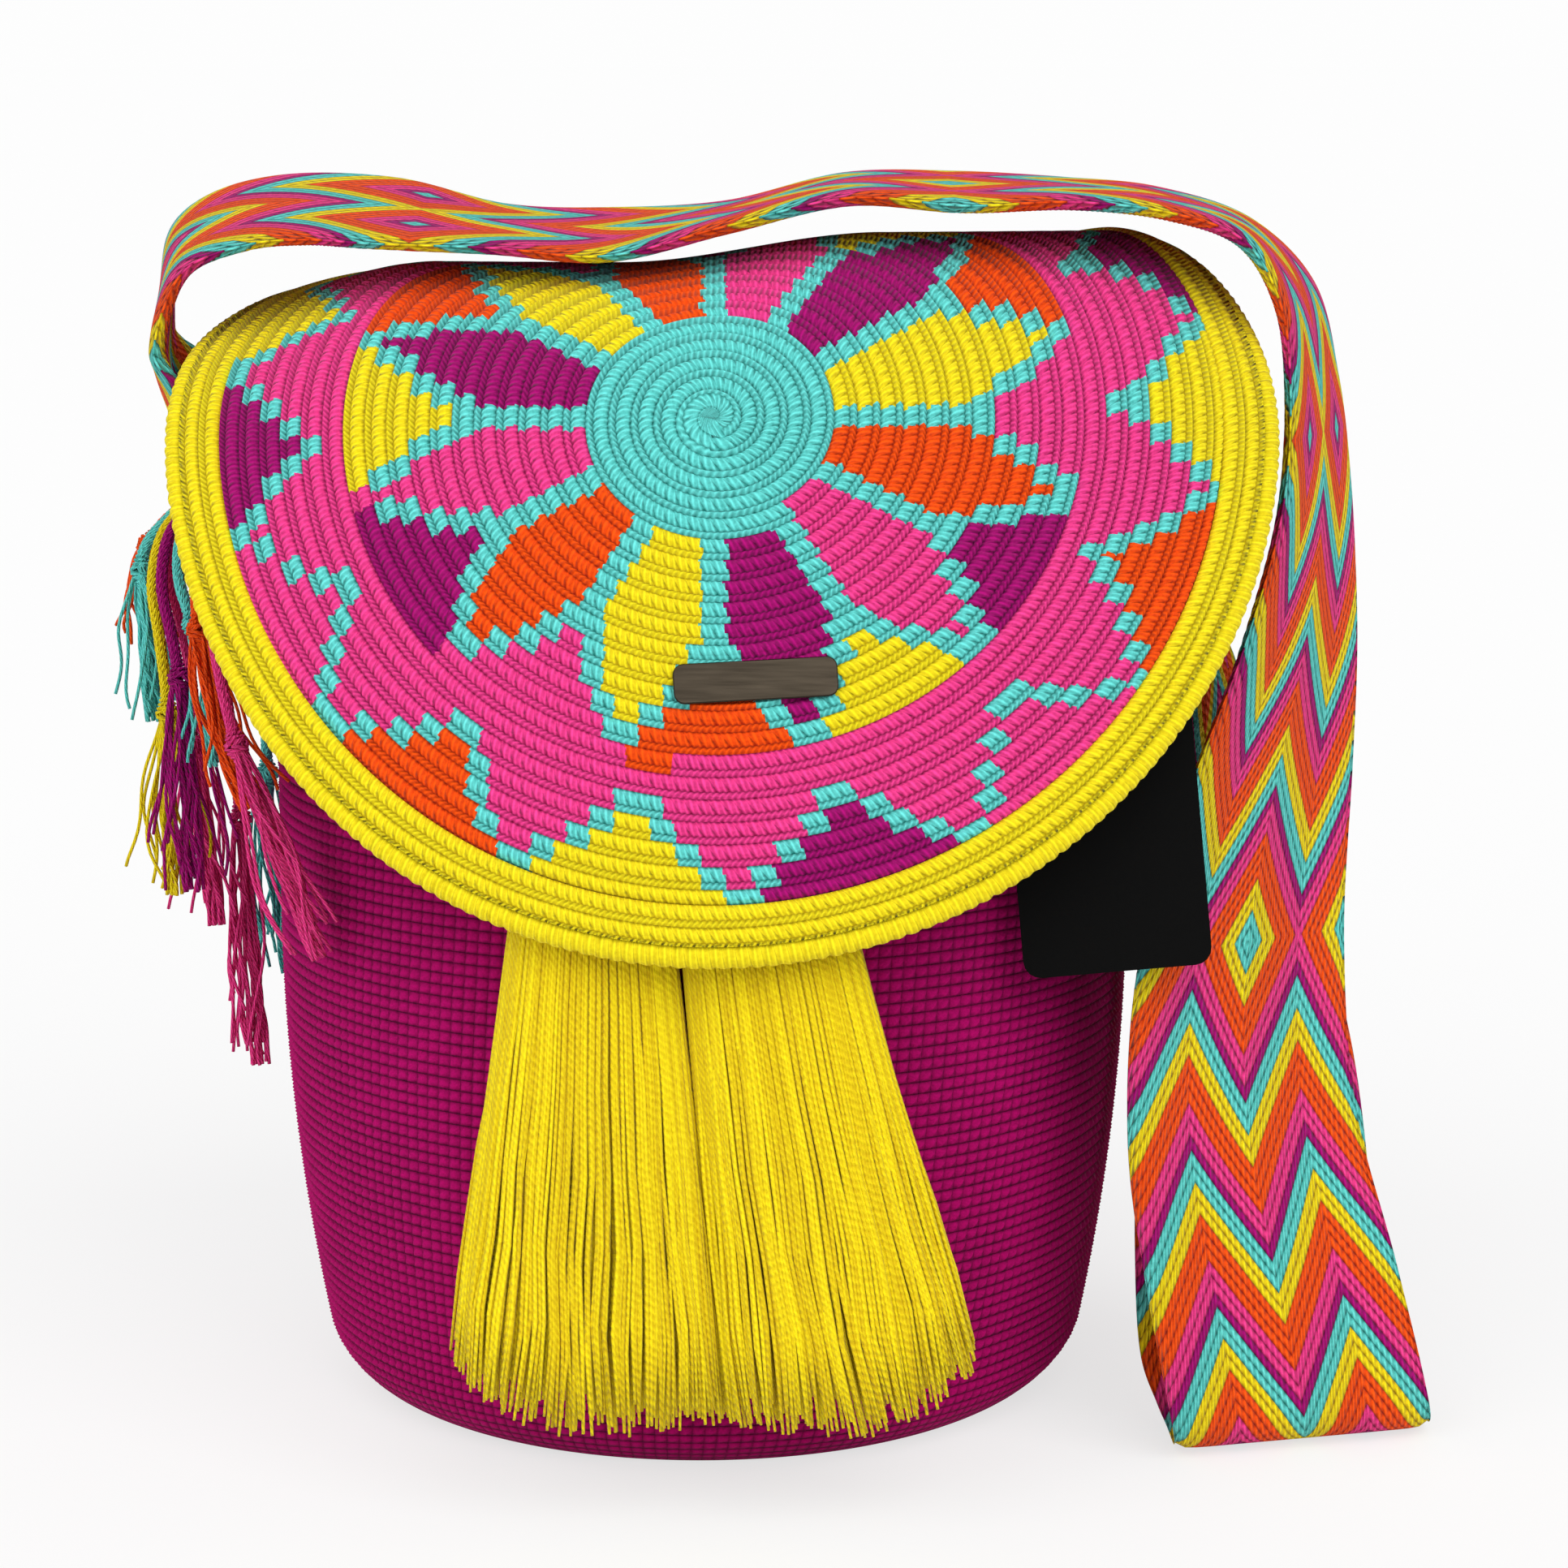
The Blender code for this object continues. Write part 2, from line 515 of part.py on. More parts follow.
def strap_stations():
    """Front and back edge of the band at each station, from the left seam to the right seam."""
    arch_front = -0.059
    arch_back = 0.020
    return [
        ((-0.1580, -0.0440, 0.2850), (-0.1660, 0.0350, 0.2850)),
        ((-0.1600, -0.0430, 0.3020), (-0.1680, 0.0360, 0.3020)),
        ((-0.1625, -0.0435, 0.3200), (-0.1700, 0.0355, 0.3220)),
        ((-0.1590, -0.0470, 0.3370), (-0.1690, 0.0310, 0.3430)),
        ((-0.1500, -0.0530, 0.3510), (-0.1650, 0.0240, 0.3590)),
        ((-0.1320, -0.0570, 0.3575), (-0.1520, 0.0210, 0.3695)),
        ((-0.1150, arch_front, 0.3590), (-0.1300, arch_back, 0.3750)),
        ((-0.0950, arch_front, 0.3580), (-0.0960, arch_back, 0.3740)),
        ((-0.0600, arch_front, 0.3568), (-0.0610, arch_back, 0.3655)),
        ((-0.0270, arch_front, 0.3545), (-0.0270, arch_back, 0.3645)),
        ((0.0080, arch_front, 0.3630), (0.0080, arch_back, 0.3665)),
        ((0.0440, arch_front, 0.3712), (0.0440, arch_back, 0.3750)),
        ((0.0780, arch_front, 0.3690), (0.0780, arch_back, 0.3755)),
        ((0.1100, arch_front, 0.3700), (0.1120, arch_back, 0.3735)),
        ((0.1380, -0.0570, 0.3668), (0.1410, 0.0220, 0.3705)),
        ((0.1600, -0.0540, 0.3585), (0.1700, 0.0250, 0.3610)),
        ((0.1715, -0.0500, 0.3400), (0.1900, 0.0270, 0.3420)),
        ((0.1755, -0.0470, 0.3150), (0.1985, 0.0280, 0.3130)),
        ((0.1730, -0.0560, 0.2800), (0.2020, 0.0170, 0.2790)),
        ((0.1600, -0.0740, 0.2400), (0.2020, -0.0060, 0.2380)),
        ((0.1430, -0.0880, 0.2000), (0.1990, -0.0280, 0.1980)),
        ((0.1290, -0.0970, 0.1500), (0.1940, -0.0500, 0.1480)),
        ((0.1265, -0.1020, 0.1000), (0.1970, -0.0640, 0.0980)),
        ((0.1310, -0.1030, 0.0550), (0.2100, -0.0760, 0.0540)),
        ((0.1375, -0.1030, 0.0230), (0.2175, -0.0810, 0.0230)),
        ((0.1400, -0.1010, 0.0090), (0.2210, -0.0800, 0.0090)),
        ((0.1408, -0.0930, 0.0034), (0.2220, -0.0720, 0.0034)),
        ((0.1405, -0.0760, 0.0031), (0.2215, -0.0560, 0.0031)),
        ((0.1395, -0.0600, 0.0050), (0.2195, -0.0410, 0.0050)),
        ((0.1360, -0.0500, 0.0160), (0.2140, -0.0280, 0.0160)),
        ((0.1350, -0.0420, 0.0500), (0.2100, -0.0160, 0.0500)),
        ((0.1360, -0.0390, 0.1000), (0.2050, 0.0010, 0.1000)),
        ((0.1400, -0.0420, 0.1600), (0.1900, 0.0210, 0.1600)),
        ((0.1460, -0.0460, 0.2200), (0.1680, 0.0290, 0.2200)),
        ((0.1500, -0.0480, 0.2620), (0.1520, 0.0320, 0.2620)),
        ((0.1530, -0.0480, 0.2820), (0.1530, 0.0320, 0.2820)),
        ((0.1540, -0.0480, 0.3050), (0.1540, 0.0320, 0.3050)),
    ]


def sewn_point(side, across, z, clear):
    """Where the band lies on the bag's end: across the section's narrow end, clear of the wall's gathers."""
    centre_x, centre_y, wide, deep, power = section(z)
    y = across * 0.90
    share = np.clip(np.abs(y) / deep, 0.0, 0.98)
    x = wide * (1 - share ** power) ** (1 / power)
    slope = -wide / deep * share ** (power - 1) * (1 - share ** power) ** (1 / power - 1) * np.sign(y)
    length = np.hypot(1.0, slope)
    tilt = RIM_TILT * y * ease(z, SHOULDER_HEIGHT, RIM_HEIGHT)
    return np.column_stack([centre_x + side * (x + clear / length), centre_y + y - clear * slope / length,
                            z + tilt])


def make_strap():
    stations = np.array([front + back for front, back in strap_stations()])
    lines = smooth_curve(stations, STRAP_STEPS + 1)
    centre = (lines[:, :3] + lines[:, 3:]) / 2
    across = lines[:, 3:] - lines[:, :3]
    across /= np.linalg.norm(across, axis=1)[:, None]
    travelled = np.concatenate([[0.0], np.cumsum(np.linalg.norm(np.diff(centre, axis=0), axis=1))])
    lanes = np.linspace(-STRAP_WIDTH / 2, STRAP_WIDTH / 2, STRAP_LANES + 1)
    clear = LACE_REACH + STRAP_THICKNESS / 2 + 4 * SEAT
    sheet = []
    for lane in lanes:
        free = centre + across * lane
        spread = np.full(len(free), lane)
        left = sewn_point(-1, spread, free[:, 2], clear)
        right = sewn_point(1, spread, free[:, 2], clear)
        near_left = (1 - ease(travelled, 0.018, STRAP_SEWN_REACH))[:, None]
        near_right = ease(travelled, travelled[-1] - STRAP_SEWN_REACH, travelled[-1] - 0.018)[:, None]
        sheet.append(free + near_left * (left - free) + near_right * (right - free))
    mesh = bpy.data.meshes.new("strap")
    work = bmesh.new()
    bmesh.ops.create_grid(work, x_segments=STRAP_STEPS, y_segments=STRAP_LANES, size=1.0)
    work.to_mesh(mesh)
    work.free()
    sheet = np.array(sheet)

    def place(points):
        step = np.rint((points[:, 0] + 1) / 2 * STRAP_STEPS).astype(int)
        lane = np.rint((points[:, 1] + 1) / 2 * STRAP_LANES).astype(int)
        return sheet[lane, step]

    obj = keep("strap", shade(reshape(mesh, place)), MATERIALS["pink"])
    thick = obj.modifiers.new("thickness", "SOLIDIFY")
    thick.thickness = STRAP_THICKNESS
    thick.offset = 0.0
    thick.use_even_offset = False
    return obj, travelled[-1], (lanes, sheet[:, 0])


# Flat pieces with round corners


def rounded_plate(name, length, width, thickness, corner, material, edge=0.0, hole=None):
    """A flat outline with round corners, in its own X and Y, centred, with a hole if one is given."""
    curve = bpy.data.curves.new(name, "CURVE")
    curve.dimensions = "2D"
    curve.fill_mode = "BOTH"
    curve.extrude = thickness / 2 - edge
    curve.bevel_depth = edge
    curve.bevel_resolution = 0
    outline = []
    for k, (sx, sy) in enumerate(((1, 1), (-1, 1), (-1, -1), (1, -1))):
        for a in np.radians(np.linspace(0, 90, 5) + 90 * k):
            outline.append((sx * (length / 2 - corner) + (corner - edge) * math.cos(a),
                            sy * (width / 2 - corner) + (corner - edge) * math.sin(a)))
    loops = [outline]
    if hole:
        radius, inset = hole
        loops.append([(radius * math.cos(a), width / 2 - inset + radius * math.sin(a))
                      for a in np.linspace(0, -2 * math.pi, 12, endpoint=False)])
    for loop in loops:
        spline = curve.splines.new("POLY")
        spline.points.add(len(loop) - 1)
        for at, (x, y) in zip(spline.points, loop):
            at.co = (x, y, 0.0, 1.0)
        spline.use_cyclic_u = True
    obj = bpy.data.objects.new(name, curve)
    PARTS.objects.link(obj)
    curve.materials.append(material)
    return obj


def set_frame(obj, origin, right, upward):
    right = np.asarray(right) / np.linalg.norm(right)
    outward = np.cross(right, upward)
    outward /= np.linalg.norm(outward)
    upward = np.cross(outward, right)
    rows = np.column_stack([right, upward, outward, origin]).tolist()
    obj.matrix_world = Matrix(rows + [[0.0, 0.0, 0.0, 1.0]])


# Fringe: each cord's colour, its place across the strap's end, where its knot lies along it, and its
# route by hand below the strap
FRINGE = [
    ("pink", -0.034, 0.55, [(-0.1470, -0.052, 0.262), (-0.1420, -0.066, 0.232), (-0.1340, -0.076, 0.205),
                            (-0.1230, -0.082, 0.178), (-0.1120, -0.084, 0.150)]),
    ("orange", -0.026, 0.45, [(-0.1520, -0.040, 0.262), (-0.1500, -0.050, 0.240), (-0.1440, -0.058, 0.215),
                              (-0.1340, -0.066, 0.192)]),
    ("turquoise", -0.017, 0.52, [(-0.1590, -0.032, 0.262), (-0.1545, -0.038, 0.246), (-0.1500, -0.040, 0.234),
                                 (-0.1490, -0.040, 0.200)]),
    ("purple", -0.008, 0.50, [(-0.1650, -0.022, 0.262), (-0.1620, -0.028, 0.240), (-0.1590, -0.032, 0.226),
                              (-0.1570, -0.034, 0.195), (-0.1560, -0.034, 0.160)]),
    ("yellow", 0.000, 0.58, [(-0.1690, -0.010, 0.262), (-0.1680, -0.014, 0.240), (-0.1650, -0.018, 0.214),
                             (-0.1650, -0.020, 0.185), (-0.1640, -0.020, 0.156)]),
    ("turquoise", 0.008, 0.45, [(-0.1735, 0.002, 0.262), (-0.1740, -0.002, 0.248), (-0.1735, -0.004, 0.235),
                                (-0.1710, -0.004, 0.208)]),
    ("orange", 0.016, 0.50, [(-0.1740, 0.012, 0.262), (-0.1755, 0.011, 0.245), (-0.1740, 0.011, 0.228)]),
    ("pink", 0.024, 0.60, [(-0.1690, 0.022, 0.258), (-0.1640, 0.020, 0.225), (-0.1600, 0.014, 0.185),
                           (-0.1560, 0.008, 0.140)]),
    ("pink", 0.032, 0.60, [(-0.1600, 0.032, 0.255), (-0.1540, 0.030, 0.215), (-0.1490, 0.026, 0.165),
                           (-0.1440, 0.018, 0.092)]),
    ("turquoise", 0.0395, 0.62, [(-0.1500, 0.042, 0.255), (-0.1440, 0.046, 0.215), (-0.1420, 0.042, 0.165),
                                 (-0.1360, 0.038, 0.118)]),
]


def clear_of_bag(points, reach):
    """Moves points outward where they come nearer than reach to the bag's face."""
    centre_x, centre_y, wide, deep, power = section(points[:, 2])
    dx = points[:, 0] - centre_x
    dy = points[:, 1] - centre_y
    share = (np.abs(dx / wide) ** power + np.abs(dy / deep) ** power) ** (1 / power)
    scale = np.maximum(1.0, (1.0 + reach / (np.hypot(dx, dy) / share)) / share)
    return np.column_stack([centre_x + dx * scale, centre_y + dy * scale, points[:, 2]])


def make_fringe(strap_end):
    """Twisted cords that leave the strap's lower left edge, with a knot and loose ends."""
    lanes, edge = strap_end
    for number, (colour, lane, knot, path) in enumerate(FRINGE, 1):
        start = np.array([np.interp(lane, lanes, edge[:, i]) for i in range(3)]) - (0, 0, SEAT)
        start[2] -= RIM_TILT * FRINGE_CORD_DIAMETER / 2
        below = start - (0, 0, 0.005)
        count = max(8, round(length_of([tuple(below)] + path) / FRINGE_POINT_SPACING) + 4)
        points = clear_of_bag(smooth_curve([tuple(below)] + path, count - 1), FRINGE_BRUSH_DIAMETER / 2 + 2 * SEAT)
        points[0] = below
        points = np.vstack([start, points])
        along = np.linspace(0.0, 1.0, count)
        at_knot = int(np.argmin(np.abs(along - knot)))
        swells = np.where(along < knot, 1.0, FRINGE_BRUSH_DIAMETER / FRINGE_CORD_DIAMETER)
        swells[at_knot] = FRINGE_KNOT_DIAMETER / FRINGE_CORD_DIAMETER
        swells[-1] *= 0.8
        tube(f"fringe_cord_{number:02d}", points, FRINGE_CORD_DIAMETER, MATERIALS[colour], swells)


# Start from an empty scene, and make the collections and the materials
for old in list(bpy.data.objects):
    bpy.data.objects.remove(old)
PARTS = bpy.data.collections.new("crochet_shoulder_bag")
CUTTERS = bpy.data.collections.new("cutters")
bpy.context.scene.collection.children.link(PARTS)
bpy.context.scene.collection.children.link(CUTTERS)
MATERIALS = {name: make_material(name, colour, roughness) for name, (colour, roughness) in YARN.items()}
MATERIALS["plate"] = make_material("plate", "4a423a", 0.18, 1.0)
MATERIALS["black_card"] = make_material("black_card", "101010", 0.6)
MATERIALS["white_card"] = make_material("white_card", "ecebe8", 0.6)
MATERIALS["string"] = make_material("string", "1a1a1a", 0.8)

# Drawcord and the bag body that it is laced through
route = drawcord_route()
tube("drawcord", route, DRAWCORD_DIAMETER, MATERIALS["yellow"])
cutter = tube("eyelet_cutter", route[9:-9], DRAWCORD_DIAMETER + 2 * EYELET_CLEARANCE, MATERIALS["purple"])
cutter_mesh = finished_mesh(cutter)
cutter = bpy.data.objects.new("eyelet_cutter", cutter_mesh)
CUTTERS.objects.link(cutter)
cutter.hide_render = True
cutter.display_type = "WIRE"

bag_mesh = reshape(turned(bucket_profile(), GATHERS * STEPS_PER_GATHER), shape_bag)
bag_body = keep("bag_body", shade(bag_mesh, 60.0), MATERIALS["purple"])
eyelets = bag_body.modifiers.new("eyelets", "BOOLEAN")
eyelets.operation = "DIFFERENCE"
eyelets.object = cutter

# Flap
flap = keep("flap", shade(reshape(turned(mat_profile(), FLAP_SEGMENTS), drape), 60.0), MATERIALS["pink"])

# Name plate, seated on the flap's ridges
spot, right, upward, outward = (value[0] for value in flap_frame(np.array([PLATE_ACROSS]),
                                                                  np.array([-PLATE_DOWN])))
turn = math.radians(PLATE_TURN)
plate_right = right * math.cos(turn) + upward * math.sin(turn)
plate_seat = FLAP_CLOTH / 2 + RIDGE_HEIGHT + SEAT + PLATE_THICKNESS / 2
plate = rounded_plate("name_plate", PLATE_LENGTH, PLATE_WIDTH, PLATE_THICKNESS, PLATE_CORNER,
                      MATERIALS["plate"], edge=PLATE_EDGE)
set_frame(plate, spot + outward * plate_seat, plate_right, upward)

# Strap and fringe
strap, strap_length, strap_end = make_strap()
make_fringe(strap_end)

# Tassels
for side in (-1, 1):
    make_tassel(side)

# Hang tag: two cards that hang from one string, which ends in a knot behind them
card_turn = math.radians(CARD_TURN)
card_lean = math.radians(CARD_LEAN)
card_right = np.array([math.cos(card_turn), 0.0, math.sin(card_turn)])
card_up = np.array([-math.sin(card_turn) * math.cos(card_lean), math.sin(card_lean),
                    math.cos(card_turn) * math.cos(card_lean)])
card_front = np.cross(card_right, card_up)
card_front /= np.linalg.norm(card_front)
card_hole = np.array(CARD_TOP) - card_up * CARD_HOLE_INSET
hole = (CARD_HOLE_DIAMETER / 2, CARD_HOLE_INSET)
front_card = rounded_plate("tag_card_black", CARD_WIDTH, CARD_LENGTH, CARD_THICKNESS, CARD_CORNER,
                           MATERIALS["black_card"], hole=hole)
set_frame(front_card, card_hole + card_up * (CARD_HOLE_INSET - CARD_LENGTH / 2), card_right, card_up)
behind = card_hole - card_front * (CARD_THICKNESS + SEAT)
back_card = rounded_plate("tag_card_white", INNER_CARD_WIDTH, INNER_CARD_LENGTH, CARD_THICKNESS, CARD_CORNER,
                          MATERIALS["white_card"], hole=hole)
set_frame(back_card, behind + card_up * (CARD_HOLE_INSET - INNER_CARD_LENGTH / 2), card_right, card_up)

start_x, start_z = STRING_STARTS
string_angle = mouth_angle(start_x, start_z)
string_out = gather(string_angle, start_z) + 2 * SEAT
string_face = bag_point(string_angle, np.array([start_z]), string_out)[0]
string_path = [string_face, string_face + (0.001, -0.003, -0.0006), string_face + (0.004, -0.010, -0.008),
               card_hole + card_front * 0.004 + card_up * 0.008, card_hole + card_front * 0.0024]
knot_scale = STRING_KNOT_DIAMETER / STRING_DIAMETER
behind_cards = 1.5 * CARD_THICKNESS + SEAT
string_end = [card_hole - card_front * (behind_cards + back) for back in (0.0003, 0.0005, 0.0022, 0.0038)]
string_line = np.vstack([smooth_curve(string_path, 10), string_end])
string_swells = [1.0] * 11 + [0.8 * knot_scale, knot_scale, 0.6 * knot_scale]
tube("tag_string", string_line, STRING_DIAMETER, MATERIALS["string"], string_swells)
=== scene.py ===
# Crocheted shoulder bag: a purple bucket with a laced mouth, a round patterned flap, two yellow tassels,
# a plaited strap with a fringed end, a metal plate and a card tag. Metres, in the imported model's frame:
# the bag stands on z = 0 and faces -Y.
import json
import math

import bpy
import numpy as np
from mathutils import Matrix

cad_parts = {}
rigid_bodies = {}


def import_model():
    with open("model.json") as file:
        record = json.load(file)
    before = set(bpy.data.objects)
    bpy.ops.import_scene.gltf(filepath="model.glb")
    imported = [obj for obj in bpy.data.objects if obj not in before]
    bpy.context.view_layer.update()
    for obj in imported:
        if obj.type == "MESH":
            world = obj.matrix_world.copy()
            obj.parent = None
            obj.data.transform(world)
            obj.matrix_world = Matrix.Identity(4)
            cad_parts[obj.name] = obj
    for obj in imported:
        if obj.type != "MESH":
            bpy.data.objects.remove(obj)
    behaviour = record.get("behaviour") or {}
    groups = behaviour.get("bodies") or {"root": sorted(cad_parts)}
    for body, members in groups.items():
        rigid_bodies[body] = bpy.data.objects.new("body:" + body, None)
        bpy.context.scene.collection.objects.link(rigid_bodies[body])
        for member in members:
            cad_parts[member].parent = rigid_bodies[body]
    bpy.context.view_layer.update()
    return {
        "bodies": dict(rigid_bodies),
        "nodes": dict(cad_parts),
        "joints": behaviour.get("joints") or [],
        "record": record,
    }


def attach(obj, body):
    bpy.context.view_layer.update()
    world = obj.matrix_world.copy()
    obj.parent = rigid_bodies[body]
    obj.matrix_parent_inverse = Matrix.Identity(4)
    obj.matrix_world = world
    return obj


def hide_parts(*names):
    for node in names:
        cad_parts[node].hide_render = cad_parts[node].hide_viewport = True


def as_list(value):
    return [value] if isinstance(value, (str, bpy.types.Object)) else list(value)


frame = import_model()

# Camera
# The photographer stood about 1.25 m in front of the bag, a little above its flap, and looked down on it
# by 10.2 degrees.
camera_data = bpy.data.cameras.new("photo_camera")
camera_data.lens = 92.9
camera_data.sensor_width = 36.0
camera = bpy.data.objects.new("photo_camera", camera_data)
camera.location = (0.025, -1.25, 0.412)
camera.rotation_euler = (math.radians(90.0 - 10.2), 0.0, 0.0)
bpy.context.scene.collection.objects.link(camera)
bpy.context.scene.camera = camera


# Bag body
# The real body is a bucket in single crochet: rounds of small knobbly stitches in purple cotton, worked
# from the middle of the base up to the mouth. The drawcord pulls the mouth into an oval with 12 gathers.
BASE_RADIUS = 0.095
BASE_CORNER = 0.020
BELLY_RADIUS = 0.132
BELLY_HEIGHT = 0.150
SHOULDER_HEIGHT = 0.200
RIM_HEIGHT = 0.319
RIM_TILT = 0.10
MOUTH_REACH = {"left": 0.158, "right": 0.147, "front": 0.071, "back": 0.062}
MOUTH_SQUARENESS = 2.2
MOUTH_BEND = 1.15
WALL = 0.004
FRONT_DENT = 0.006
DENT_HEIGHT = 0.175
DENT_SIZE = 0.060
GATHERS = 12
GATHER_DEPTH = 0.0028
GATHER_START = 0.255
LACE_HEIGHT = 0.300
TURN = 2 * math.pi
BODY_STITCHES = 200
BODY_ROW = 0.00345
BODY_BUMP = 0.0016
BODY_LEAN = 0.06


def ease(value, low, high):
    """Smooth step: 0 below low, 1 above high, with level ends."""
    t = np.clip((value - low) / (high - low), 0.0, 1.0)
    return t * t * (3.0 - 2.0 * t)


def belly_radius(z):
    """Radius of the round part: a quarter-round corner, then a parabola out to the belly."""
    z = np.clip(z, 0.0, None)
    in_corner = np.clip(1.0 - z / BASE_CORNER, 0.0, 1.0)
    corner = BASE_CORNER * np.sqrt(1.0 - in_corner ** 2)
    rise = 1.0 - np.clip(1.0 - z / BELLY_HEIGHT, 0.0, 1.0) ** 2
    return BASE_RADIUS + corner + (BELLY_RADIUS - BASE_RADIUS - BASE_CORNER) * rise


def section(z):
    """Centre x and y, half width, half depth and squareness of the outer section at height z.

    Each side moves from the belly's radius to its own reach at the mouth as the shoulder's height share
    to the power MOUTH_BEND.
    """
    bend = np.clip((z - SHOULDER_HEIGHT) / (RIM_HEIGHT - SHOULDER_HEIGHT), 0.0, 1.2) ** MOUTH_BEND
    reach = {side: belly_radius(z) + (far - BELLY_RADIUS) * bend for side, far in MOUTH_REACH.items()}
    centre_x = (reach["right"] - reach["left"]) / 2
    centre_y = (reach["back"] - reach["front"]) / 2
    wide = (reach["left"] + reach["right"]) / 2
    deep = (reach["front"] + reach["back"]) / 2
    return centre_x, centre_y, wide, deep, 2.0 + (MOUTH_SQUARENESS - 2.0) * bend


def on_oval(angle, power):
    """Across and along shares of a rounded-rectangle oval: signed powers 2 / power of cosine and sine."""
    across = np.sign(np.cos(angle)) * np.abs(np.cos(angle)) ** (2 / power)
    along = np.sign(np.sin(angle)) * np.abs(np.sin(angle)) ** (2 / power)
    return across, along


def travel(points):
    """Length of a line of points up to each of them."""
    return np.concatenate([[0.0], np.cumsum(np.linalg.norm(np.diff(points, axis=0), axis=1))])


def mouth_turn(phi):
    """Turns an even angle into the angle that gives even steps along the oval mouth."""
    fine = np.linspace(-math.pi, math.pi, 1441)
    _, _, wide, deep, power = section(np.array(RIM_HEIGHT))
    travelled = travel(np.stack(on_oval(fine, power), -1) * (wide, deep))
    share = np.mod(phi + math.pi, TURN) / TURN
    return np.interp(share * travelled[-1], travelled, fine)


def bag_point(phi, z, out):
    """Point at angle phi and height z, a distance out from the bag's outer face, gathers left aside.

    The section is an oval whose angle blends from even turns to even steps along the mouth. The front is
    dented around DENT_HEIGHT, and the mouth's plane tilts down to the front.
    """
    centre_x, centre_y, wide, deep, power = section(z)
    blend = ease(z, SHOULDER_HEIGHT, GATHER_START)
    even = np.mod(phi + math.pi, TURN) - math.pi
    bend = np.mod(mouth_turn(phi) - even + math.pi, TURN) - math.pi
    angle = even + blend * bend
    across, along = on_oval(angle, power)
    x = centre_x + (wide + out) * across
    y = centre_y + (deep + out) * along
    in_front = np.clip(-np.sin(angle), 0.0, 1.0) ** 3
    dent = FRONT_DENT * in_front * np.exp(-((z - DENT_HEIGHT) / DENT_SIZE) ** 2)
    tilt = RIM_TILT * (y - centre_y) * ease(z, SHOULDER_HEIGHT, RIM_HEIGHT)
    return np.stack([x, y + dent, z + tilt], axis=-1)


def gather(phi, z):
    """How far the gathers push the wall out at angle phi and height z: a cosine that grows to the lace."""
    return GATHER_DEPTH * ease(z, GATHER_START, LACE_HEIGHT - 0.004) * np.cos(GATHERS * phi)


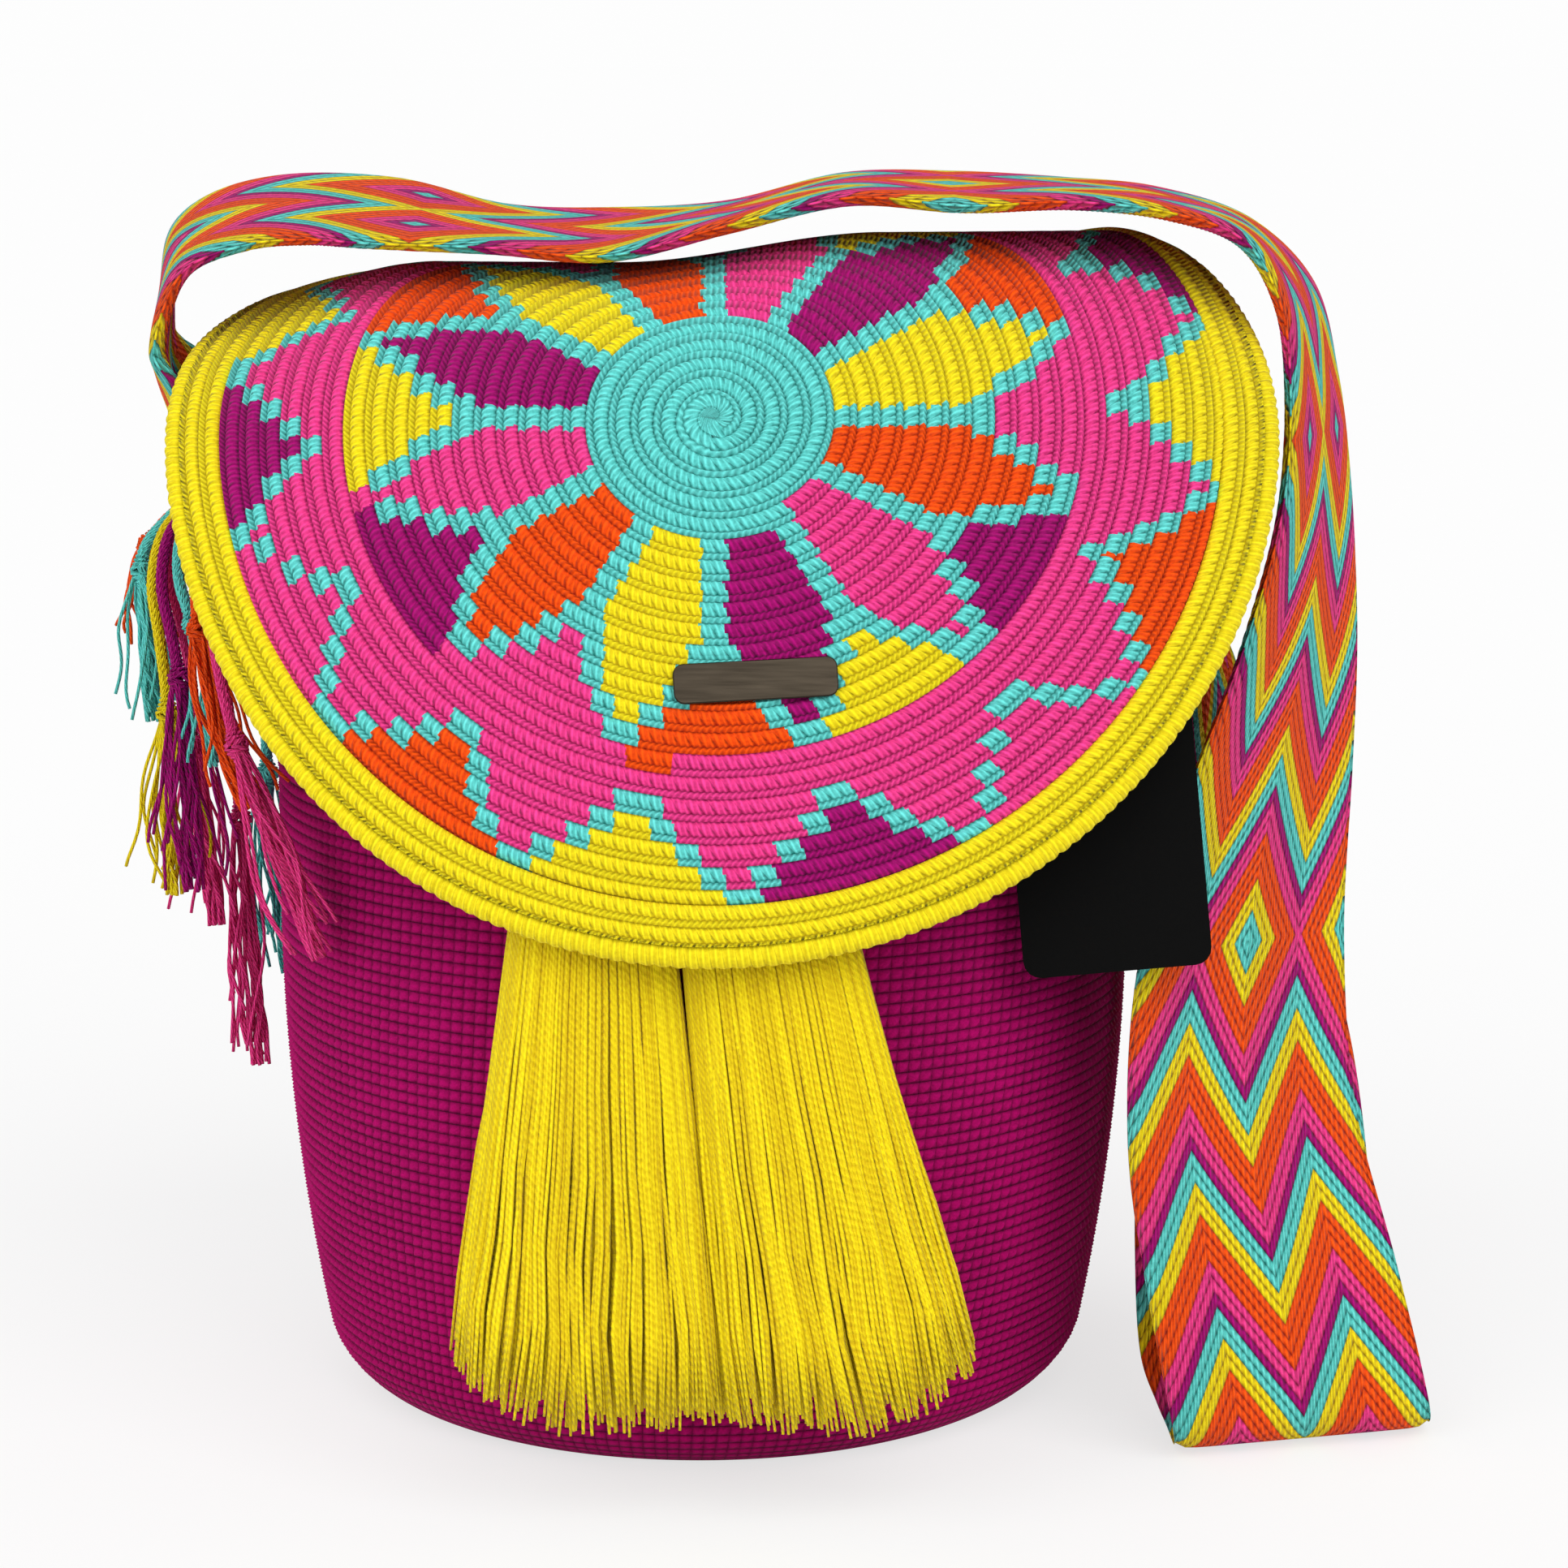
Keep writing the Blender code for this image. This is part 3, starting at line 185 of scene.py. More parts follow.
def skin(name, rows, turns=1.0, hop=0, hopping=0, open_ends=False):
    """A closed surface through rows, which are rings of points with their heights on the map.

    A ring has as many points as the next, or a multiple or an equal share of them. Equal rings are joined
    by four-sided faces, and a ring with k times the points by a fan of k triangles and one more for each
    coarse step. The two end rings are closed by one face each. With hop, the first rings, hopping of them,
    are turns of a spiral: each one ends where the ring hop further on starts, and the last ones at extra
    points, which follow as rings of one point. The map 'stitch' has the share of a turn, times turns,
    across, and each ring's height up.
    """
    rows = list(rows)
    extras = [ring for ring, _ in rows if len(ring) == 1]
    rings = [ring for ring, _ in rows if len(ring) > 1]
    heights = np.array([height for ring, height in rows if len(ring) > 1], float)
    sizes = [len(ring) for ring in rings]
    starts = np.concatenate([[0], np.cumsum(sizes)])
    row_of = np.arange(len(rings))
    next_row = np.where(row_of < hopping, row_of + hop, row_of)
    ends = np.where(next_row < max(hopping, 1) if hop else True, starts[np.minimum(next_row, len(rings) - 1)],
                    starts[-1] + next_row - hopping)
    ends = np.where(row_of < hopping, ends, starts[:-1])

    def spot(j, i):
        return np.where(i < sizes[j], starts[j] + i, ends[j])

    faces = []
    maps = []
    for j, (low, high) in enumerate(zip(sizes, sizes[1:])):
        if low == high:
            i = np.arange(low)
            faces.append(np.stack([spot(j, i), spot(j, i + 1), spot(j + 1, i + 1), spot(j + 1, i)], 1))
            u = np.stack([i, i + 1, i + 1, i], 1) * turns / low
            v = np.broadcast_to(heights[[j, j, j + 1, j + 1]], u.shape)
            maps.append(np.stack([u, v], -1))
            continue
        few, many = min(low, high), max(low, high)
        times = many // few
        a, b = (j, j + 1) if low == few else (j + 1, j)
        i = np.repeat(np.arange(few), times)
        m = np.tile(np.arange(times), few)
        near = i + (m >= times / 2)
        fine = i * times + m
        fan = [spot(a, near), spot(b, fine + 1), spot(b, fine)]
        fan_u = [near / few, (fine + 1) / many, fine / many]
        fan_v = [heights[a], heights[b], heights[b]]
        i = np.arange(few)
        middle = i * times + (times + 1) // 2
        gap = [spot(a, i), spot(a, i + 1), spot(b, middle)]
        gap_u = [i / few, (i + 1) / few, middle / many]
        gap_v = [heights[a], heights[a], heights[b]]
        for face, u, v in ((fan, fan_u, fan_v), (gap, gap_u, gap_v)):
            turned = slice(None) if a == j else slice(None, None, -1)
            faces.append(np.stack(face, 1)[:, turned])
            flat = np.stack([np.stack(u, 1) * turns, np.broadcast_to(v, (len(u[0]), 3))], -1)
            maps.append(flat[:, turned])
    if not open_ends:
        loops = [(0, np.arange(sizes[0])[::-1]), (len(rings) - 1, np.arange(sizes[-1]))]
        for j, ring in loops:
            corners = starts[j] + ring
            if hop and j == 0:
                corners = np.concatenate([starts[1:hop], [ends[0]], corners])
            faces.append(corners[None])
            maps.append(np.stack([np.resize(ring * turns / sizes[j], len(corners)),
                                  np.full(len(corners), heights[j] + 0.3)], -1))
    if hop:
        wall = np.concatenate([[starts[hopping - 1]], [starts[hopping]], starts[-1] + np.arange(hop)[::-1]])
        faces.append(wall[None])
        maps.append(np.stack([np.zeros(len(wall)), np.full(len(wall), heights[hopping - 1])], -1))
    return mesh_from(name, np.vstack(rings + extras), faces, maps)


def mesh_from(name, points, faces, maps):
    """A smooth mesh from points, arrays of faces by their number of corners, and their corners' map."""
    corners = np.concatenate([face.ravel() for face in faces])
    counts = np.concatenate([np.full(len(face), face.shape[1]) for face in faces])
    mesh = bpy.data.meshes.new(name)
    mesh.vertices.add(len(points))
    mesh.vertices.foreach_set("co", points.astype(np.float32).ravel())
    mesh.loops.add(len(corners))
    mesh.loops.foreach_set("vertex_index", corners.astype(np.int32))
    mesh.polygons.add(len(counts))
    mesh.polygons.foreach_set("loop_start", np.concatenate([[0], np.cumsum(counts)[:-1]]).astype(np.int32))
    mesh.update(calc_edges=True)
    mesh.shade_smooth()
    flat = np.concatenate([part.reshape(-1, 2) for part in maps])
    mesh.uv_layers.new(name="stitch").data.foreach_set("uv", flat.astype(np.float32).ravel())
    return mesh


def piece(name, mesh, material, body, nodes):
    """A finished piece at the origin that rides on a body and stands for CAD nodes, which it hides."""
    made = bpy.data.objects.new(name, mesh)
    bpy.context.scene.collection.objects.link(made)
    made.data.materials.append(material)
    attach(made, body)
    if nodes:
        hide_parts(*nodes)
    return made


def linear(hex_colour):
    """The linear colour of an sRGB hex value."""
    channels = [int(hex_colour[i:i + 2], 16) / 255 for i in (0, 2, 4)]
    return [c / 12.92 if c <= 0.04045 else ((c + 0.055) / 1.055) ** 2.4 for c in channels] + [1.0]


def new_material(name):
    made = bpy.data.materials.new(name)
    made.use_nodes = True
    return made, made.node_tree, made.node_tree.nodes["Principled BSDF"]


def fill(node, inputs):
    """Links or sets a node's inputs, by name or number. A node as a value stands for its first output."""
    for key, value in inputs.items():
        value = value.outputs[0] if isinstance(value, bpy.types.Node) else value
        if isinstance(value, bpy.types.NodeSocket):
            node.id_data.links.new(value, node.inputs[key])
        else:
            node.inputs[key].default_value = value
    return node


def add(tree, kind, *values, **named):
    """Adds one node of a kind, which may have its type, map or size after a blank, or is an operation.

    The values go into its first inputs in order, and the named ones into the inputs of that name.
    """
    kind, _, choice = ("Math " + kind if kind.isupper() else kind).partition(" ")
    node = tree.nodes.new("ShaderNode" + kind)
    if choice:
        settings = {"Math": "operation", "Mix": "data_type", "UVMap": "uv_map"}
        setattr(node, settings.get(kind, "noise_dimensions"), choice)
    return fill(node, {**dict(enumerate(values)), **named})


def stitch_map(tree):
    """The two numbers of a piece's stitch map."""
    return add(tree, "SeparateXYZ", add(tree, "UVMap stitch")).outputs[:2]


def fuzz(tree, scale, detail=3.0):
    """The loose fibres of spun yarn: noise on object coordinates, with scale features a metre."""
    return add(tree, "TexNoise", Vector=add(tree, "TexCoord").outputs["Object"], Scale=scale, Detail=detail)


def round_tops(tree, place, power):
    """Rows of rounded tops: the absolute sine of place, one top to each whole number, to a power."""
    wave = add(tree, "SINE", add(tree, "MULTIPLY", place, math.pi))
    return add(tree, "POWER", add(tree, "ABSOLUTE", wave), power)


def ply_marks(tree, across, turns, along, rate):
    """Slanted marks of twisted plies: the sine of across times turns plus along times rate, in radians."""
    return add(tree, "SINE", add(tree, "MULTIPLY_ADD", across, turns, add(tree, "MULTIPLY", along, rate)))


def finish(shader, lit, colours, height, bump, numbers):
    """A whole surface: its dark and light colour mixed by lit, a bump that height drives, and its numbers.
    In the yarns, lit holds painted shade and highlight as well as random tone.

    bump is the strength and the depth in metres.
    """
    dark, light = (linear(colour) if isinstance(colour, str) else colour for colour in colours)
    mixed = fill(add(shader.id_data, "Mix RGBA", lit), {6: dark, 7: light})
    normal = add(shader.id_data, "Bump", Strength=bump[0], Distance=bump[1], Height=height)
    fill(shader, {"Base Color": mixed.outputs[2], "Normal": normal, **numbers})


# Cotton yarn, crocheted tight: matt, with a soft sheen of stray fibres along the edge of each form. The
# colour has painted shade in the gaps between stitches and a painted highlight on each knob, over the
# yarn's own random tone of fibres and patches.
COTTON = {"Roughness": 0.85, "Specular IOR Level": 0.1, "Sheen Weight": 0.05}
body_yarn, tree, shader = new_material("crocheted_purple_cotton")
across, up = stitch_map(tree)
columns = add(tree, "MULTIPLY_ADD", round_tops(tree, across, 0.6), 0.55, 0.45)
knob = add(tree, "MULTIPLY", round_tops(tree, up, 0.45), columns)
fibre = fuzz(tree, 900.0)
patch = add(tree, "MULTIPLY_ADD", fuzz(tree, 35.0, 2.0), 0.35, -0.52)
# The knob term is painted light: a painted highlight on each knob's top and painted shade in the gaps
lit = add(tree, "MULTIPLY_ADD", fibre, 0.7, add(tree, "ADD", knob, patch))
finish(shader, lit, ("3c0020", "aa0260"), add(tree, "MULTIPLY_ADD", fibre, 0.35, knob), (1.0, 0.0012),
       {**COTTON, "Sheen Tint": linear("d050b0")})


def round_ring(radius, phi, z):
    return np.stack([radius * np.cos(phi), radius * np.sin(phi), np.full(len(phi), z)], 1)


def body_rings():
    """Rings up the outside by half rows, over the rim, down the inside and across the floor.

    Outside, the wall is pushed out by half the bump where a stitch and a row have their middle, and in
    where they end: a sine of the stitch times a sine of the row. Each row starts a little further round.
    """
    fine = np.linspace(0.0, RIM_HEIGHT, 800)
    travelled = travel(np.stack([belly_radius(fine), fine], 1))
    rows = round(travelled[-1] / BODY_ROW)
    count = 2 * BODY_STITCHES
    inner = np.linspace(0.0, TURN, count // 4, endpoint=False)
    for share in (0.0, 0.35, 0.7, 0.96):
        yield round_ring(BASE_RADIUS * max(share, 0.002), inner, 0.0), -8.0 + 8.0 * share
    stitch = np.arange(count) / 2
    for step in range(1, 2 * rows):
        row_place = step / 2
        z = np.full(count, np.interp(row_place / rows * travelled[-1], travelled, fine))
        phi = TURN * (stitch + BODY_LEAN * row_place) / BODY_STITCHES
        in_row = abs(math.sin(math.pi * row_place))
        knob_height = (np.abs(np.sin(math.pi * stitch)) - 0.5) * BODY_BUMP * in_row
        groove = -0.35 * BODY_BUMP * (1 - in_row)
        fade = ease(z, 0.004, 0.02) * (1 - ease(z, RIM_HEIGHT - 0.004, RIM_HEIGHT))
        yield bag_point(phi, z, gather(phi, z) + (knob_height + groove) * fade), row_place
    inner += TURN * BODY_LEAN * rows / BODY_STITCHES
    for lift, depth in ((0.0011, 0.0009), (0.0018, 0.002), (0.0011, 0.0031)):
        z = np.full(len(inner), RIM_HEIGHT + lift - 0.0018)
        yield bag_point(inner, z, gather(inner, z) - depth), rows + depth * 300
    for i, z_in in enumerate(np.linspace(RIM_HEIGHT - 0.004, 0.024, 44)):
        z = np.full(len(inner), z_in)
        wave = 0.0004 * (1 if i % 2 else -1)
        yield bag_point(inner, z, gather(inner, z) - WALL + wave), rows + 1 + i
    corner = BASE_CORNER - WALL
    for turn in (60, 30, 0):
        z = WALL + corner * (1 - math.cos(math.radians(turn)))
        yield round_ring(BASE_RADIUS + corner * math.sin(math.radians(turn)), inner, z), rows + 46 - turn / 30
    for share in (0.7, 0.35, 0.002):
        yield round_ring(BASE_RADIUS * share, inner, WALL), rows + 48 + (1 - share) * 8


body_mesh = skin("bag_body_crochet", body_rings(), BODY_STITCHES)
piece("bag_body_crochet", body_mesh, body_yarn, "bag", ["bag_body"])


# Tassels
# Each real tassel is a hank of fine twisted yellow yarn bent over the drawcord's end, bound below it with
# a few turns of the same yarn, and cut ragged at the foot. Some 520 strands are laid in four shells.
TASSEL_TOP = 0.203
TASSEL_BOTTOM = 0.034
TASSEL_HEAD_RADIUS = 0.0062
TASSEL_NECK_RADIUS = 0.0052
TASSEL_NECK_HEIGHT = 0.193
TASSEL_SHOULDER = 0.020
TASSEL_HALF_WIDTH = {-1: 0.0205, 1: 0.0230}
TASSEL_SPREAD = {-1: 0.0176, 1: 0.0121}
TASSEL_HALF_DEPTH = 0.0078
TASSEL_FOOT_DEPTH = 0.0095
TASSEL_HEAD_X = {-1: -0.0290, 1: 0.0170}
TASSEL_FOOT_X = {-1: -0.0311, 1: 0.0439}
TASSEL_FOOT_RISE = 0.016
TASSEL_BACK = -0.1268
TASSEL_BACK_LOW = -0.1292
TIE_HEIGHT = 0.006
TIE_WINDINGS = 5
TIE_RADIUS = 0.0007
STRAND_RADIUS = 0.00062


def tassel_section(z, side):
    """Centre and half sizes of a tassel at height z: head, bound neck, round shoulders, spread foot."""
    top = TASSEL_NECK_HEIGHT - TIE_HEIGHT / 2
    down = np.clip((top - z) / (top - TASSEL_BOTTOM), 0.0, 1.1)
    shoulders = np.sqrt(1 - np.clip(1 - (top - z) / TASSEL_SHOULDER, 0.0, 1.0) ** 2)
    shoulders = np.where(z > top, 0.0, shoulders)
    head = ease(z, TASSEL_NECK_HEIGHT + TIE_HEIGHT / 2, TASSEL_NECK_HEIGHT + TIE_HEIGHT / 2 + 0.004)
    neck = TASSEL_NECK_RADIUS + (TASSEL_HEAD_RADIUS - TASSEL_NECK_RADIUS) * head
    half_width = (neck + (TASSEL_HALF_WIDTH[side] - TASSEL_NECK_RADIUS) * shoulders
                  + TASSEL_SPREAD[side] * down ** 0.85)
    half_depth = neck + (TASSEL_HALF_DEPTH - TASSEL_NECK_RADIUS) * shoulders + TASSEL_FOOT_DEPTH * down
    centre_x = TASSEL_HEAD_X[side] + (TASSEL_FOOT_X[side] - TASSEL_HEAD_X[side]) * down
    back = (TASSEL_BACK + (TASSEL_BACK_LOW - TASSEL_BACK) * ease(-z, -0.185, -0.125)
            - 0.0009 * ease(z, top - 0.006, top))
    return centre_x, back - half_depth, half_width, half_depth


def unit(vectors):
    return vectors / np.linalg.norm(vectors, axis=-1, keepdims=True)


def across_frames(paths):
    """Two unit vectors across each line of points, carried along it so that they don't spin.

    The first is whatever is left of a fixed direction once its share along the line is taken away.
    """
    along = unit(np.gradient(paths, axis=-2))
    fixed = np.array([0.31, -0.93, 0.19])
    first = unit(fixed - along * (fixed * along).sum(-1, keepdims=True))
    return first, np.cross(along, first)


def around(frames, turn):
    """Unit vectors out from each point of a line, at each angle of turn."""
    first, second = frames
    return first * np.cos(turn)[..., None] + second * np.sin(turn)[..., None]


def strands(name, paths, radii, sides):
    """Many round strands as one mesh: a ring of sides round every point of every line, both ends closed.

    radii is one radius, or one for each point. The map 'stitch' has the strand's number plus the share of
    a turn across, and the length along the strand in millimetres up.
    """
    count, steps, _ = paths.shape
    turn = np.linspace(0.0, TURN, sides, endpoint=False)
    ring = around([frame[:, :, None] for frame in across_frames(paths)], turn)
    points = paths[:, :, None] + ring * np.broadcast_to(radii, (count, steps))[:, :, None, None]
    length = np.linalg.norm(np.diff(paths, axis=1), axis=2).cumsum(1) * 1000
    length = np.concatenate([np.zeros((count, 1)), length], 1) + np.arange(count)[:, None] * 1.7
    strand, step, side = np.meshgrid(np.arange(count), np.arange(steps - 1), np.arange(sides), indexing="ij")
    base = (strand * steps + step) * sides
    after = (side + 1) % sides
    above = base + sides
    faces = np.stack([base + side, base + after, above + after, above + side], -1).reshape(-1, 4)
    u = np.stack([side, side + 1, side + 1, side], -1) / sides * 0.98 + strand[..., None]
    low = length[:, :-1, None] + 0 * side
    high = length[:, 1:, None] + 0 * side
    v = np.stack([low, low, high, high], -1)
    starts = np.arange(count)[:, None] * steps * sides
    caps = np.concatenate([starts + np.arange(sides)[::-1], starts + (steps - 1) * sides + np.arange(sides)])
    maps = [np.stack([u, v], -1).reshape(-1, 2), np.zeros((caps.size, 2))]
    return mesh_from(name, points.reshape(-1, 3), [faces, caps], maps)


def tassel_strands(side, rng):
    """Lines from the crown, round the head, through the neck and down to a ragged foot.

    A strand keeps its angle and its share of the section's half sizes. It strays by a slow wave and a
    small lean that grow towards the foot, and ends up to 7 mm short of the foot's curve.
    """
    top = TASSEL_NECK_HEIGHT - TIE_HEIGHT / 2
    shells = [(1.0, 170), (0.93, 150), (0.8, 120), (0.6, 80)]
    share = np.concatenate([np.full(count, level) for level, count in shells])
    angle = np.concatenate([np.arange(count) * TURN / count + 0.4 * i
                            for i, (_, count) in enumerate(shells)])
    angle = angle + rng.uniform(-0.02, 0.02, len(angle))
    steps = np.concatenate([[TASSEL_TOP - 0.0008, TASSEL_TOP - 0.0015, TASSEL_TOP - 0.0035, top + TIE_HEIGHT,
                             top, top - 0.0015, top - 0.005, top - 0.011, top - TASSEL_SHOULDER],
                            np.linspace(0.150, TASSEL_BOTTOM, 6)])
    z = np.broadcast_to(steps, (len(share), len(steps))).copy()
    end = rng.uniform(-0.0045, 0.005, len(share))
    z += ease(-z, -0.160, -TASSEL_BOTTOM) * end[:, None]
    centre_x, centre_y, half_width, half_depth = tassel_section(z, side)
    inset = STRAND_RADIUS * 1.1
    crown = np.ones(len(steps))
    crown[:2] = (0.30, 0.80)
    low = ease(-z, -0.180, -TASSEL_BOTTOM)
    stray = low * (0.035 * np.sin(z * 90 + 5 * angle[:, None] + rng.normal(0, 0.35, len(share))[:, None])
                   + rng.normal(0.0, 0.012, len(share))[:, None])
    spread = np.where(share[:, None] < 1, share[:, None] + 0.10 * low * rng.normal(0, 1, len(share))[:, None],
                      1.0 + 0.02 * low * rng.normal(0, 1, len(share))[:, None])
    turn = angle[:, None] + stray
    x = centre_x + (half_width - inset) * np.minimum(spread, 1.04) * crown * np.cos(turn)
    y = centre_y + (half_depth - inset) * np.clip(spread, 0.2, 1.0) * crown * np.sin(turn)
    outward = np.clip(side * (x - centre_x) / half_width, 0.0, 1.0)
    rise = TASSEL_FOOT_RISE * outward ** 2 * ease(-z, -0.150, -TASSEL_BOTTOM)
    return np.stack([x, y, z + rise], -1)


# Fine two-ply yellow yarn: matt with a silky sheen, each strand a little lighter or darker than the next,
# and short slanted marks where its plies turn: painted shade in the grooves between the plies, which
# also drive the bump.
tassel_yarn, tree, shader = new_material("loose_yellow_yarn")
turn, along = stitch_map(tree)
twist = ply_marks(tree, turn, TURN, along, 2.6)
own_tone = add(tree, "TexWhiteNoise 1D", W=add(tree, "FLOOR", turn))
# The twist marks darken the colour as painted shade in the ply grooves
lit = add(tree, "MULTIPLY_ADD", twist, 0.12, add(tree, "SUBTRACT", fuzz(tree, 700.0), 0.22))
lit = add(tree, "MULTIPLY_ADD", own_tone, 0.55, lit)
finish(shader, lit, ("c8a600", "f2de0e"), twist, (0.5, 0.0003),
       {"Roughness": 0.7, "Specular IOR Level": 0.15, "Sheen Weight": 0.05})

for side, name in ((-1, "left"), (1, "right")):
    rng = np.random.default_rng(41 + side)
    lines = tassel_strands(side, rng)
    radii = np.full(lines.shape[:2], STRAND_RADIUS) * rng.uniform(0.9, 1.15, (len(lines), 1))
    radii *= np.linspace(0.9, 1.12, radii.shape[1])
    radii[:, -1] *= 0.6

    # The tassel's binding is one long strand, wound five times round its neck and tucked in
    turn = np.linspace(0.0, TURN * TIE_WINDINGS, 24 * TIE_WINDINGS + 1)
    z = TASSEL_NECK_HEIGHT - TIE_HEIGHT / 2 + 0.0008 + turn / turn[-1] * (TIE_HEIGHT - 0.0016)
    centre_x, centre_y, half_width, half_depth = tassel_section(z, side)
    wound = np.stack([centre_x + (half_width + 0.0006) * np.cos(turn),
                      centre_y + (half_depth + 0.0006) * np.sin(turn), z], -1)[None]
    for node, kind, paths, sizes, sides in ((f"tassel_{name}", "strands", lines, radii, 4),
                                            (f"tassel_tie_{name}", "winding", wound, TIE_RADIUS, 8)):
        mesh = strands(f"{node}_{kind}", paths, sizes, sides)
        piece(f"{node}_{kind}", mesh, tassel_yarn, f"tassel_{name}_body", [node])


# Drawcord
# The real one is a thick twisted yellow cord, laced in and out of the wall under the rim. Both ends come
# out at the front, hang down under the flap and end in the tassels.
DRAWCORD_DIAMETER = 0.005
DRAWCORD_DROP = (0.294, 0.278, 0.255, 0.232)


def read_line(wanted, places, points):
    """Reads a line, given by its points at rising places, at the wanted places."""
    return np.stack([np.interp(wanted, places, column) for column in points.T], -1)


def smooth_curve(points, count):
    """Centripetal curve through the given points, read at equal spacing along its length."""
    points = np.asarray(points, float)
    padded = np.vstack([2 * points[0] - points[1], points, 2 * points[-1] - points[-2]])
    dense = []
    for before, start, end, after in zip(padded, padded[1:], padded[2:], padded[3:]):
        knots = np.cumsum([0.0] + [max(np.linalg.norm(q - p), 1e-9) ** 0.5
                                   for p, q in ((before, start), (start, end), (end, after))])
        t = np.linspace(knots[1], knots[2], 24, endpoint=False)[:, None]
        spots = [before, start, end, after]
        for spans in (((0, 1), (1, 2), (2, 3)), ((0, 2), (1, 3)), ((1, 2),)):
            spots = [(p * (knots[j] - t) + q * (t - knots[i])) / (knots[j] - knots[i])
                     for (i, j), p, q in zip(spans, spots, spots[1:])]
        dense.append(spots[0])
    dense = np.vstack(dense + [points[-1:]])
    travelled = travel(dense)
    return read_line(np.linspace(0.0, travelled[-1], count), travelled, dense)


def length_of(points):
    return float(travel(np.asarray(points))[-1])


def mouth_angle(x, z):
    """The angle, near the front, at which the bag's face at height z has this x."""
    fine = np.linspace(-math.pi / 2 - 1.2, -math.pi / 2 + 1.2, 241)
    return np.interp([x], bag_point(fine, np.full(len(fine), z), 0.0)[:, 0], fine)


def drawcord_route():
    """From the left tassel up the front, round the mouth in and out of the wall, and down to the right."""
    front = -math.pi / 2
    spread = math.pi / GATHERS
    phi = np.linspace(front - spread, front + spread - TURN, 63)
    swing = np.tanh(2.2 * np.cos(GATHERS * phi)) / math.tanh(2.2)
    loop = bag_point(phi, np.full(np.shape(phi), LACE_HEIGHT), -WALL / 2 - GATHER_DEPTH * swing)

    def hanging(side, top):
        head_y = tassel_section(np.array([TASSEL_TOP]), side)[1][0]
        spots = []
        for z in DRAWCORD_DROP:
            lean = ease(z, TASSEL_TOP, LACE_HEIGHT - 0.01)
            x = TASSEL_HEAD_X[side] * (1 - lean) + top[0] * lean
            clear = DRAWCORD_DIAMETER / 2 + 0.0003 + GATHER_DEPTH * ease(-z, -LACE_HEIGHT, -GATHER_START)
            face = bag_point(mouth_angle(x, z), np.array([z]), clear)[0]
            spots.append((x, min(face[1], top[1] - 0.001), z))
        spots.append((TASSEL_HEAD_X[side], head_y, TASSEL_TOP + 0.008))
        line = smooth_curve([tuple(top)] + spots, 9)[1:]
        return np.vstack([line, [(TASSEL_HEAD_X[side], head_y, TASSEL_TOP + 0.0003)]])

    return np.vstack([hanging(-1, loop[0])[::-1], loop, hanging(1, loop[-1])])


def rope(points, diameter, pitch, plies=2, swell=None, spacing=0.0009, sides=12):
    """Rings of a twisted cord: a circle that swells by a tenth at each ply, turned along its length."""
    count = max(8, round(length_of(points) / spacing))
    line = smooth_curve(points, count)
    run = np.linspace(0.0, length_of(line), count)
    turn = np.linspace(0.0, TURN, sides, endpoint=False)
    phase = plies * (turn[None] - TURN * run[:, None] / pitch)
    radius = diameter / 2 * (0.93 + 0.13 * np.abs(np.cos(phase / 2)) ** 0.7)
    if swell is not None:
        radius = radius * np.interp(np.linspace(0, 1, count), np.linspace(0, 1, len(swell)), swell)[:, None]
    ring = around([frame[:, None] for frame in across_frames(line)], turn)
    return zip(line[:, None] + ring * radius[:, :, None], run * 1000)


# Thick twisted cotton cord, in the five colours of the bag, with a deep groove between the plies. Each
# colour is given as a dark and a light copy, which the ply marks mix into painted shade in the grooves,
# over the fibres' random tone.
YARNS = {"yellow": ("b08600", "f6e218"), "pink": ("8e0040", "f84292"), "orange": ("a81c00", "ff5a10"),
         "turquoise": ("0f7c74", "6adcd4"), "purple": ("4a002c", "ae0678")}
cord_yarn = {}
for name, colours in YARNS.items():
    cord_yarn[name], tree, shader = new_material(f"twisted_{name}_cotton_cord")
    turn, along = stitch_map(tree)
    ply = ply_marks(tree, turn, 3 * TURN, along, 2.4)
    lit = add(tree, "MULTIPLY_ADD", fuzz(tree, 800.0), 0.8, 0.32)
    # ply darkens the colour as painted shade in the grooves between the plies
    finish(shader, add(tree, "MULTIPLY_ADD", ply, 0.28, lit), colours, ply, (0.6, 0.0005),
           {**COTTON, "Roughness": 0.8})

route = drawcord_route()
cord_mesh = skin("drawcord_twisted", rope(route, DRAWCORD_DIAMETER, 0.011, plies=3))
drawcord = piece("drawcord_twisted", cord_mesh, cord_yarn["yellow"], "bag", ["drawcord"])


# Flap
# The real flap is a round mat crocheted outwards in a spiral: wide rounds of slanted stitches with a
# two-ply rope line between them, in five colours of cotton, and a border of three fatter yellow rounds.
# It is one with the bag's back edge and drapes over the mouth and down the front.
ROUND = 1 / 25.5
FIELD_ROUNDS = 22.6
FLAP_REACH = {"left": 0.1645, "right": 0.169, "front": 0.1595, "back": 0.171}
FLAP_CLOTH = 0.0045
FLAP_CENTRE = (0.005, -0.0947, 0.3088)
FLAP_WRAP_RADIUS = 0.45
CREST_REACH = 0.083
EDGE_DROP = 0.016
ROUND_WIDTH = 6.55
STITCH_WIDTH = 3.5
STITCH_RATE = TURN * ROUND_WIDTH / STITCH_WIDTH
STITCH_STEP = 12.0
LEAF_SHARE = 0.68
SPIRAL_START = math.radians(-60.0)
STITCH_LEAN = 0.9
COLOUR_LEAN = 0.45


